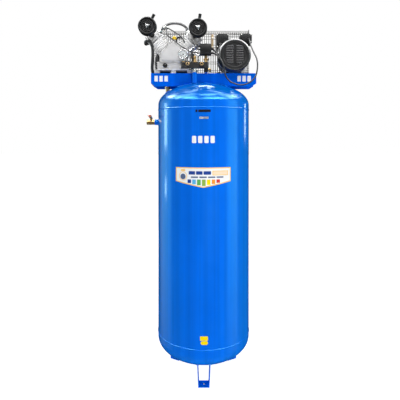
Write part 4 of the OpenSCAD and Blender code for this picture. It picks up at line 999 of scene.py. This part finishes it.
piped("arch_pipe_bent", [(-254.9, -22, 1922.5), (-246.5, -22, 1930.9), (-234, -21, 1949), (-212, -19, 1966.5), (-185, -15, 1976),
                         (-158, -10, 1978.5), (-131, -5, 1975), (-110, 0, 1966), (-97, 2, 1953), (-95.5, 2, 1938),
                         (-90.6, 2, 1928.2), (-85.1, 2, 1922.6)], 8.4, "arch", ("arch_pipe",), ((0, 24, 11), (1, 24, 11)), 8, 28)
piped("discharge_pipe_bent", [(-320.6, -22, 1861), (-324.1, -22, 1857.5), (-326.9, -23.5, 1855), (-329.2, -29, 1853.4),
                              (-330.2, -38, 1855), (-328.5, -51, 1859), (-322.5, -66, 1862.5), (-311, -77.5, 1862.5),
                              (-297.5, -83.5, 1854), (-288.5, -84.5, 1837), (-285, -82, 1812), (-284.5, -79, 1780),
                              (-287, -73, 1745), (-290, -60, 1718), (-291, -45, 1701), (-289.5, -34.5, 1688),
                              (-287.5, -30.5, 1676), (-284, -30, 1665), (-274, -30, 1657), (-250, -30, 1651),
                              (-222, -30, 1650), (-208, -30, 1644), (-205, -30, 1636), (-205, -30, 1629)], 8.4, "hose",
      ("discharge_pipe",), ((0, 21, 5), (1, 22, 10)), 8, 28)
ut = tube(smooth_path([(-206, -85, 1933), (-176, -92, 1915), (-145, -96, 1895), (-124, -92, 1878), (-112, -88, 1862), (-108, -70, 1856)], 10), 3.4, 14)
join(ut, tube(smooth_path([(-212, -85, 1938), (-206, -96, 1915), (-203, -104, 1889), (-170, -107, 1860), (-130, -110, 1828),
                           (-95, -114, 1804), (-60, -118, 1789), (-37, -120, 1785), (-22.5, -120, 1786)], 10), 3.4, 14))
make("unloader_tubes_bent", ut, "cable", rep=("unloader_tubes",))
ft = bmesh.new()
join(ft, hexa(11, 9, (-206, -76, 1933), (0, -1, 0)))
join(ft, hexa(11, 9, (-213, -76, 1940), (0, -1, 0)))
join(ft, hexa(11, 8, (-30, -120, 1785.4), (1, 0, 0.05)))
join(ft, rbox((26, 14, 14), (-214, -69, 1934), 2, 3))
join(ft, rod((-222, -62, 1930), (-222, -45, 1922), 5, 20))
join(ft, hexa(10, 8, (-108, -63, 1856), (0, -1, 0)))
make("unloader_fittings", ft, "zinc")

# ------------------------------------------------------------------ belt
FX, FZ, MX, MZ = -170.0, 1774.0, 169.0, 1769.0
FP, PP = 119.0, 36.0


def wrap(o, n1=96, n2=48):
    dx, dz = MX - FX, MZ - FZ
    c = math.hypot(dx, dz)
    t, b = math.atan2(dz, dx), math.acos((FP - PP) / c)
    out = [V(FX + (FP + o) * math.cos(t + b + (2 * math.pi - 2 * b) * k / n1), 0,
             FZ + (FP + o) * math.sin(t + b + (2 * math.pi - 2 * b) * k / n1)) for k in range(n1 + 1)]
    out += [V(MX + (PP + o) * math.cos(t - b + 2 * b * k / n2), 0, MZ + (PP + o) * math.sin(t - b + 2 * b * k / n2))
            for k in range(n2 + 1)]
    return out


bb = bmesh.new()
loops = [(wrap(-3.4), 135 - 5.0), (wrap(-3.4), 135 + 5.0), (wrap(3.6), 135 + 7.2), (wrap(4.4), 135 + 6.6), (wrap(4.4), 135 - 6.6), (wrap(3.6), 135 - 7.2)]
rows = [[bb.verts.new((p.x, y, p.z)) for p in lp] for lp, y in loops]
cnt = len(rows[0])
for i in range(len(rows)):
    a, b = rows[i], rows[(i + 1) % len(rows)]
    for k in range(cnt):
        bb.faces.new((a[k], a[(k + 1) % cnt], b[(k + 1) % cnt], b[k]))
make("v_belt_wrapped", bb, "rubber", rep=("v_belt",), sharp=30)

# ------------------------------------------------------------------ motor: boxes, lips on the cowl, plate
bx = bmesh.new()
def cut_box(x0, x1, z0, z1, y0, y1, bev):
    """Box whose underside follows the round motor frame."""
    pts = []
    rr = 87.4
    steps = 14
    low = []
    for k in range(steps + 1):
        x = x0 + (x1 - x0) * k / steps
        q = rr * rr - (x - MX) ** 2
        zc = MZ + math.sqrt(q) if q > 0 else -1e9
        low.append((x, max(z0, zc)))
    pts = low + [(x1, z1), (x0, z1)]
    return prism(pts, y0, y1, bev, 3)


b1 = cut_box(73, 141, 1823, 1897, -64, 26, 2.0)
join(b1, rbox((68, 4, 76), (107, -66, 1863), 2.0, 3) if False else prism([(73, 1824)] + [(x, max(1823.5, MZ + math.sqrt(max(0, 88.5 ** 2 - (x - MX) ** 2)))) for x in range(77, 142, 8)] + [(141, 1903), (73, 1903)], -68, -64.4, 1.5, 3))
join(b1, rbox((70, 92, 6), (107, -20, 1900), 2.0, 3))
join(b1, cut_box(208, 272, 1853, 1898, -64, 26, 2.0))
join(b1, prism([(208.5, 1853.5), (271.5, 1853.5), (271.5, 1903.5), (208.5, 1903.5)], -68, -64.4, 1.5, 3))
join(b1, rbox((66, 92, 6), (240, -20, 1901), 2.0, 3))
for x0 in (80, 92, 104, 116, 128):
    join(b1, rbox((3, 1.2, 34), (x0, -68.4, 1882), 0.5, 2))
make("motor_box_casings", b1, "black", rep=("motor_boxes",))
bs = bmesh.new()
for x, z in ((78, 1898), (136, 1898), (78, 1830), (213, 1899), (267, 1899), (213, 1858), (267, 1858)):
    join(bs, lathe([(0, 0), (3.2, 0), (3.0, 1.2), (2.0, 1.8), (0, 1.9)], (x, -68, z), (0, -1, 0), 20))
make("motor_box_screws", bs, "zinc")
# painted highlight: light grey lips along the louvres of the black cowl
lips = bmesh.new()
for s in (-1, 1):
    for k in range(-5, 6):
        zz = k * 9.4
        hw = min(19.0, math.sqrt(max(0, 60.0 ** 2 - zz * zz)) / 2 - 3)
        if hw < 5:
            continue
        join(lips, prism([(MX + s * (8 + hw) - hw, MZ + zz + 2.1), (MX + s * (8 + hw) + hw, MZ + zz + 2.1),
                          (MX + s * (8 + hw) + hw, MZ + zz + 3.4), (MX + s * (8 + hw) - hw, MZ + zz + 3.4)], -150.6, -147.6, 0.5, 2))
make("cowl_louvre_highlight_lips", lips, finish_mat("louvre_edge_painted_highlight", (0.42, 0.42, 0.425), rough=0.35, bump=0.1))
cw = lathe(rcorner([(79.4, 148.6), (79.6, 150.6), (81.2, 151.2), (83.4, 150.4), (87.6, 145.4), (87.9, 140.0), (86.4, 139.6), (86.2, 142.6), (81.6, 148.4), (79.4, 148.6)], 1.2, 4), (MX, 0, MZ), (0, -1, 0), 160, closed=True)
make("cowl_rim_bead", cw, "rim")
cs = bmesh.new()
for a in (45, 135, 225, 315):
    d = V(math.cos(math.radians(a)), 0, math.sin(math.radians(a)))
    join(cs, lathe([(0, 0), (4.2, 0), (4.0, 1.6), (2.6, 2.4), (0, 2.5)], V(MX, -82, MZ) + d * 86.9, d, 20))
make("cowl_screws", cs, "zinc")
fin_ring = lathe(rcorner([(84.2, -2), (87.2, -2), (88, 0), (88, 9), (87.2, 11), (84.2, 11)], 0.8), (MX, -74.2, MZ), (0, 1, 0), 128, closed=True)
make("motor_front_ring", fin_ring, "alu")
make("motor_plate", prism([(MX - 84.0, MZ - 18), (MX - 84.0, MZ + 18)][:0] or [(MX + 28, 0), (MX + 29, 0), (MX + 29, 1)], -0.1, 0.1, 0) if False
     else rbox((0.8, 60, 34), (MX + 87.0, 0, MZ + 6), 0.3, 1), "silverface")

# ------------------------------------------------------------------ belt guard
GX0, GX1, GZ0, GZ1, GY0, GY1 = -312.0, 275.0, 1640.0, 1961.0, 100.0, 170.0
gw = bmesh.new()
wr = 1.45
xs = [GX0 + 8 + 13 * k for k in range(45)]
for x in xs:
    gap = (1774, 52) if abs(x + 170) < 48 else (1769, 30) if abs(x - 169) < 26 else None
    rear = [V(x, GY1 - 6, GZ0 + 3), V(x, GY1 - 6, GZ1 - 12), V(x, GY1 - 8, GZ1 - 5), V(x, GY1 - 14, GZ1 - 1.8)]
    front = [V(x, GY0 + 14, GZ1 - 1.8), V(x, GY0 + 8, GZ1 - 5), V(x, GY0 + 6, GZ1 - 12)]
    if gap is None:
        join(gw, tube([Vector(q) for q in rear + front + [V(x, GY0 + 6, GZ0 + 3)]], wr, 8))
    else:
        join(gw, tube([Vector(q) for q in rear + front + [V(x, GY0 + 6, gap[0] + gap[1])]], wr, 8))
        join(gw, tube([V(x, GY0 + 6, GZ0 + 3), V(x, GY0 + 6, (GZ0 + gap[0]) / 2), V(x, GY0 + 6, gap[0] - gap[1])], wr, 8))
for y, yy in ((GY0 + 6, GY0 + 3.2), (GY1 - 6, GY1 - 3.2)):
    for k in range(6):
        z = GZ0 + 34 + k * 51
        if y < 120 and (abs(z - 1774) <= 40 or abs(z - 1769) <= 30):
            for a, b in ((GX0 + 3, -170 - 50), (-170 + 50, 169 - 28), (169 + 28, GX1 - 3)):
                join(gw, rod((a, yy, z), (b, yy, z), wr, 8))
        else:
            join(gw, rod((GX0 + 3, yy, z), (GX1 - 3, yy, z), wr, 8))
for y in (112, 135, 158):
    join(gw, rod((GX0 + 3, y, GZ1 - 4.8), (GX1 - 3, y, GZ1 - 4.8), wr, 8))
for x in (GX0 + 4, GX1 - 4):
    for k in range(12):
        z = GZ0 + 20 + k * 26
        join(gw, rod((x, GY0 + 3, z), (x, GY1 - 3, z), wr, 8))
make("belt_guard_mesh", gw, "wire", rep=("belt_guard",), sharp=60)
clip = rbox((12.8, 3.8, 84.6), (55, 97.4, 1899), 1.0, 2)
join(clip, rbox((20, 2.6, 10), (55, 97.4, 1858), 1.0, 2))
make("guard_clip_strip", clip, "yzinc")
cb = bmesh.new()
for z in (1864, 1918):
    join(cb, hexa(8, 4, (55, 96, z), (0, -1, 0), 0.8))
make("guard_clip_screws", cb, "zinc")
make("guard_corner_post", rod((273.5, 101, 1946), (273.5, 101, 1969), 2.6, 16), "black")

# ------------------------------------------------------------------ pressure switch
ps = rbox((63, 48, 8), (10.5, -121, 1777), 1.6, 3)
join(ps, rbox((63, 52, 49), (10.5, -121, 1805.5), 3.4, 4))
join(ps, rbox((52, 1.6, 36), (10.5, -147.0, 1806), 0.7, 2))
for x in (-13, 34):
    join(ps, rod((x, -146.8, 1786), (x, -148.4, 1786), 3.2, 20))
join(ps, rod((42, -118, 1784), (50, -119, 1783.4), 7.2, 24, 1.2))
join(ps, rod((42, -120, 1806), (50, -118.2, 1805.2), 7.2, 24, 1.2))
join(ps, rod((-21, -119, 1820.6), (-28, -118.2, 1823.4), 6.4, 24, 1.2))
make("pressure_switch_case", ps, "black", rep=("pressure_switch",))

# ------------------------------------------------------------------ manifold fittings
so = bmesh.new()
MY, MZ2 = -105.0, 1718.0
for x in (-88, -11):
    o = V(x, MY, MZ2 + 4)
    join(so, lathe(rcorner([(0, 5), (7, 5), (7, 15), (0, 15)], 0.4), o, (0, -1, 0), 32))
    join(so, hexa(20, 8, o + V(0, -15.1, 0), (0, -1, 0)))
    join(so, lathe(rcorner([(5.6, 22), (8.2, 22), (9, 24), (9, 34), (8.2, 36), (6.4, 36), (5.6, 34.6)], 0.5), o, (0, -1, 0), 40, closed=True))
    for k in range(5):
        join(so, lathe([(8.9, 0), (9.25, 0.4), (9.25, 0.8), (8.9, 1.2)], o + V(0, -25 - 1.7 * k, 0), (0, -1, 0), 40, closed=True))
join(so, rod((-112, MY, 1724), (-112, MY, 1734), 5, 24))
join(so, hexa(14, 9, (-112, MY, 1733.1), (0, 0, 1)))
join(so, rod((13, MY, 1724), (13, MY, 1772.8), 5, 24))
join(so, hexa(17, 12, (13, MY, 1736), (0, 0, 1)))
join(so, hexa(17, 7, (13, MY, 1762), (0, 0, 1)))
join(so, lathe(rcorner([(0, -14), (6, -14), (6, -8), (7.4, -7), (7.4, 7), (6, 8), (6, 14), (0, 14)], 0.6), (13, MY, 1751), (1, 0, 0), 32))
make("service_fittings", so, "brass", rep=("service_outlets",))
bores = bmesh.new()
for x in (-88, -11):
    join(bores, lathe([(0, 0), (5.6, 0), (5.6, 0.3), (0, 0.3)], (x, MY - 33.5, MZ2 + 4), (0, -1, 0), 24))
make("service_bores", bores, "ink")
sv = bmesh.new()
for a in ((-48, MY, 1718),):
    o = Vector(a)
    join(sv, rod(o + V(0, 0, 6), o + V(0, 0, 16), 5, 24))
    join(sv, hexa(19, 9, o + V(0, 0, 15.1), (0, 0, 1)))
    join(sv, lathe(rcorner([(2.7, 24), (8, 24), (8, 32), (7, 33), (7, 36), (8, 37), (8, 47), (6, 48.5), (6, 54), (2.7, 54)], 0.6), o, (0, 0, 1), 40, closed=True))
make("safety_valve_turned", sv, "brass", rep=("safety_valve",))
ex = bmesh.new()
# silver elbow between riser and bar, tee and elbows by the switch
join(ex, rod((-50, MY, 1697), (-50, MY, 1704), 10.2, 28, 1.0))
join(ex, tube(smooth_path([(-30, -104, 1752), (-30, -104, 1766), (-26, -106, 1774), (-18, -108, 1777)], 6), 5.4, 20))
join(ex, hexa(14, 8, (-30, -104, 1744), (0, 0, 1)))
join(ex, rod((-30, -104, 1733), (-30, -104, 1745), 4.6, 20))
join(ex, hexa(14, 9, (-74, -100, 1776), (0, 0, 1)))
join(ex, rod((-74, -100, 1733), (-74, -100, 1777), 4.4, 20))
join(ex, tube(smooth_path([(-74, -100, 1785), (-74, -100, 1800), (-66, -96, 1812), (-54, -88, 1820)], 6), 4.6, 18))
make("bright_fittings", ex, "chrome")
eb = bmesh.new()
join(eb, rod((13, MY, 1670), (13, MY, 1681), 8.5, 28, 2))
make("regulator_cap", eb, "bluecap")
ey = bmesh.new()
join(ey, hexa(16, 7, (34, MY, 1690), (0, 0, 1)))
join(ey, rod((22, MY, 1697), (36, MY, 1697), 6, 24))
join(ey, rod((34, MY, 1683), (34, MY, 1700), 4.5, 24))
make("side_cock", ey, "brass")

# ------------------------------------------------------------------ gauge
GC = V(-112, 0, 1776)
gc = lathe(rcorner([(0, 101), (23, 101), (25, 103), (25, 119), (26, 120), (26, 125.5), (25, 126.4), (23.6, 126.4), (22.8, 125), (22.8, 120.6), (0, 120.6)], 0.6), GC, (0, -1, 0), 96)
join(gc, rod((-112, -105, 1742.3), (-112, -105, 1751.5), 5.5, 24))
make("gauge_case", gc, "chrome", rep=("gauge",))
make("gauge_dial", lathe([(0, 0), (22.7, 0), (22.7, 0.3), (0, 0.3)], GC + V(0, -120.7, 0), (0, -1, 0), 64), "dial")
tk = bmesh.new()
for k in range(28):
    a = math.radians(-135 + 10 * k)
    big = k % 3 == 0
    mt = Matrix.Translation(GC + V(0, -121.15, 0)) @ Matrix.Rotation(a, 4, "Y")
    join(tk, rbox((0.9 if big else 0.5, 0.12, 4.4 if big else 2.6), (0, 0, 19.4 - (4.4 if big else 2.6) / 2), 0, 1, mt))
make("gauge_ticks", tk, "ink")
keep("gauge_needle", "ink", 0)
make("gauge_lens", lathe([(0, 0), (22.7, 0), (22.5, 0.7), (12, 1.2), (0, 1.4)], GC + V(0, -124.2, 0), (0, -1, 0), 64), "glass")

# ------------------------------------------------------------------ cables
cbm = bmesh.new()
c1 = smooth_path([(43.8, -118, 1784), (50, -119, 1783), (62, -130, 1775), (76, -150, 1763), (92, -160, 1742),
                  (106, -162, 1707), (116, -160, 1658), (138, -157, 1626), (171, -154, 1610), (200, -151, 1605),
                  (230, -148, 1610), (263, -145, 1629), (284, -142, 1658), (293, -138, 1707), (290, -130, 1750),
                  (276, -110, 1790), (264, -95, 1825), (258, -84, 1850), (256, -77, 1866), (255, -70.5, 1873)], 10)
join(cbm, tube(c1, 3.9, 18))
c2 = smooth_path([(43.8, -120, 1806), (52, -118, 1804), (66, -100, 1793), (78, -86, 1800), (88, -80, 1822),
                  (94, -76, 1838), (95, -70.5, 1844)], 12)
join(cbm, tube(c2, 3.9, 18))
c3 = smooth_path([(-22.8, -119, 1821), (-30, -118, 1824), (-42, -109, 1838), (-56, -85, 1858), (-66, -60, 1871), (-69, -46, 1875)], 12)
join(cbm, tube(c3, 3.0, 16))
join(cbm, rod((255, -67, 1873), (255, -78, 1868.5), 7.5, 28, 1.5))
join(cbm, rod((95, -67, 1844), (94.3, -77, 1839.5), 7.5, 28, 1.5))
make("cable_runs", cbm, "cable", rep=("cables",), sharp=60)

# ------------------------------------------------------------------ floor, light, camera
def flat_mat(name, col, rough):
    m, nt, p = new_mat(name)
    p.inputs["Base Color"].default_value = (*col, 1)
    p.inputs["Roughness"].default_value = rough
    return m


fm = bpy.data.meshes.new("floor")
fm.from_pydata([(-30, -30, -0.0005), (30, -30, -0.0005), (30, 30, -0.0005), (-30, 30, -0.0005)], [], [(0, 1, 2, 3)])
floor = bpy.data.objects.new("floor", fm)
scene.collection.objects.link(floor)
flm = flat_mat("pale_floor", (0.93, 0.93, 0.93), 0.9)
fnt = flm.node_tree
fp_ = fnt.nodes["Principled BSDF"]
fp_.inputs["Specular IOR Level"].default_value = 0.0
fp_.inputs["Emission Color"].default_value = (1, 1, 1, 1)
lp0 = fnt.nodes.new("ShaderNodeLightPath")
fnt.links.new(math_node(fnt, "MULTIPLY", lp0.outputs["Is Camera Ray"], 0.86), fp_.inputs["Emission Strength"])
fm.materials.append(flm)
floor.visible_glossy = False

FILL_LOW, FILL_HIGH, FILL_SIDE = 0.34, 0.22, 0.36
w = bpy.data.worlds.new("studio")
scene.world = w
w.use_nodes = True
wn_ = w.node_tree
bg = wn_.nodes["Background"]
lp = wn_.nodes.new("ShaderNodeLightPath")
tcw = wn_.nodes.new("ShaderNodeTexCoord")
sw = wn_.nodes.new("ShaderNodeSeparateXYZ")
link(wn_, tcw.outputs["Generated"], sw.inputs[0])
WX, WY, WZ = sw.outputs["X"], sw.outputs["Y"], sw.outputs["Z"]


def mul(a, b):
    return math_node(wn_, "MULTIPLY", a, b)


def add(a, b):
    return math_node(wn_, "ADD", a, b)


def smooth_band(v, a, b, c, d):
    """Rises from a to b and falls from c to d."""
    return mul(ramp(wn_, v, a, b), ramp(wn_, v, d, c))


# even white room for soft light, a little stronger from both sides
fill_ = add(ramp(wn_, WZ, -0.2, 0.9, FILL_LOW, FILL_HIGH), mul(ramp(wn_, math_node(wn_, "ABSOLUTE", WX), 0.3, 1.0), FILL_SIDE))
# what glossy surfaces see: dim room, a side window each side, cloudy skylight above
az_ = math_node(wn_, "DIVIDE", math_node(wn_, "ARCTAN2", WX, mul(WY, -1.0)), math.pi)
el_ = smooth_band(WZ, -0.55, -0.10, 0.30, 0.55)
win_l = mul(mul(smooth_band(az_, -0.80, -0.62, -0.50, -0.48), el_), 1.8)
win_r = mul(mul(smooth_band(az_, 0.30, 0.37, 0.49, 0.52), el_), 2.6)
cl_ = noise(wn_, 3.2, 5.0, 0.62, tcw.outputs["Generated"])
cloud = add(mul(mul(ramp(wn_, cl_.outputs["Fac"], 0.42, 0.62), smooth_band(WZ, 0.56, 0.66, 0.93, 0.99)), 9.5),
            mul(mul(ramp(wn_, cl_.outputs["Fac"], 0.36, 0.52), smooth_band(WZ, 0.50, 0.54, 0.64, 0.76)), 16.0))
room = add(mul(ramp(wn_, WY, 0.35, -0.1), ramp(wn_, WZ, -0.3, 0.9, 0.10, 0.40)), 0.02)
tintc = mixc(wn_, ramp(wn_, add(win_l, win_r), 0.0, 1.2), (1.0, 1.0, 1.0), (0.42, 0.86, 1.0))
gl_ = add(add(win_l, win_r), add(cloud, room))
cam_ = lp.outputs["Is Camera Ray"]
glo_ = lp.outputs["Is Glossy Ray"]
st_ = add(add(cam_, mul(gl_, glo_)), mul(fill_, math_node(wn_, "SUBTRACT", math_node(wn_, "SUBTRACT", 1.0, cam_), glo_)))
link(wn_, mixc(wn_, glo_, (1.0, 1.0, 1.0), tintc), bg.inputs[0])
link(wn_, st_, bg.inputs[1])


def area(name, loc, target, sx, sy, power, col=(1, 1, 1), glossy=True):
    ld = bpy.data.lights.new(name, "AREA")
    ld.shape = "RECTANGLE"
    ld.size, ld.size_y, ld.energy, ld.color = sx, sy, power, col
    o = bpy.data.objects.new(name, ld)
    scene.collection.objects.link(o)
    o.location = loc
    o.rotation_euler = (Vector(target) - Vector(loc)).to_track_quat("-Z", "Y").to_euler()
    o.visible_glossy = glossy
    o.visible_camera = False
    return o


area("front_fill", (1.0, -3.1, 0.45), (0, 0, 0.60), 2.2, 0.9, 46, glossy=False)
area("machine_fill", (0.5, -3.2, 3.2), (-0.1, 0, 1.75), 1.6, 1.0, 27, glossy=False)
area("left_strip", (-2.9, 0.75, 1.52), (0, 0, 1.40), 0.62, 0.62, 7.5)
area("left_strip_low", (-2.9, 0.75, 0.715), (0, 0, 1.05), 0.40, 0.20, 1.6)
area("right_strip", (2.4, 1.50, 1.55), (0, 0, 1.45), 0.24, 0.45, 2.4)
area("top", (0.35, -0.9, 3.7), (0, 0, 1.6), 1.2, 0.5, 15)
area("rear_fill", (-0.9, 3.6, 1.7), (0, 0, 1.2), 2.0, 2.0, 30, glossy=False)

cam = bpy.data.cameras.new("camera")
cam.lens = 36.5
cam.sensor_width = 36.0
cam.clip_start = 0.05
cobj = bpy.data.objects.new("camera", cam)
scene.collection.objects.link(cobj)
cobj.location = (-0.0203, -2.347, 1.317)
cobj.rotation_euler = (math.radians(90), 0, 0)
scene.camera = cobj
# level lens with a falling front, only where this camera stands
home = bpy.data.objects.new("camera_home", None)
scene.collection.objects.link(home)
home.location = cobj.location
fc_ = cam.driver_add("shift_y")
fc_.driver.type = "AVERAGE"
v_ = fc_.driver.variables.new()
v_.name = "gap"
v_.type = "LOC_DIFF"
v_.targets[0].id = cobj
v_.targets[1].id = home
for mod in list(fc_.modifiers):
    fc_.modifiers.remove(mod)
for at, val in ((0.0, -0.155), (0.02, -0.155), (0.05, 0.0)):
    fc_.keyframe_points.insert(at, val).interpolation = "LINEAR"
fc_.extrapolation = "CONSTANT"

scene.view_settings.view_transform = "Standard"
scene.view_settings.look = "None"
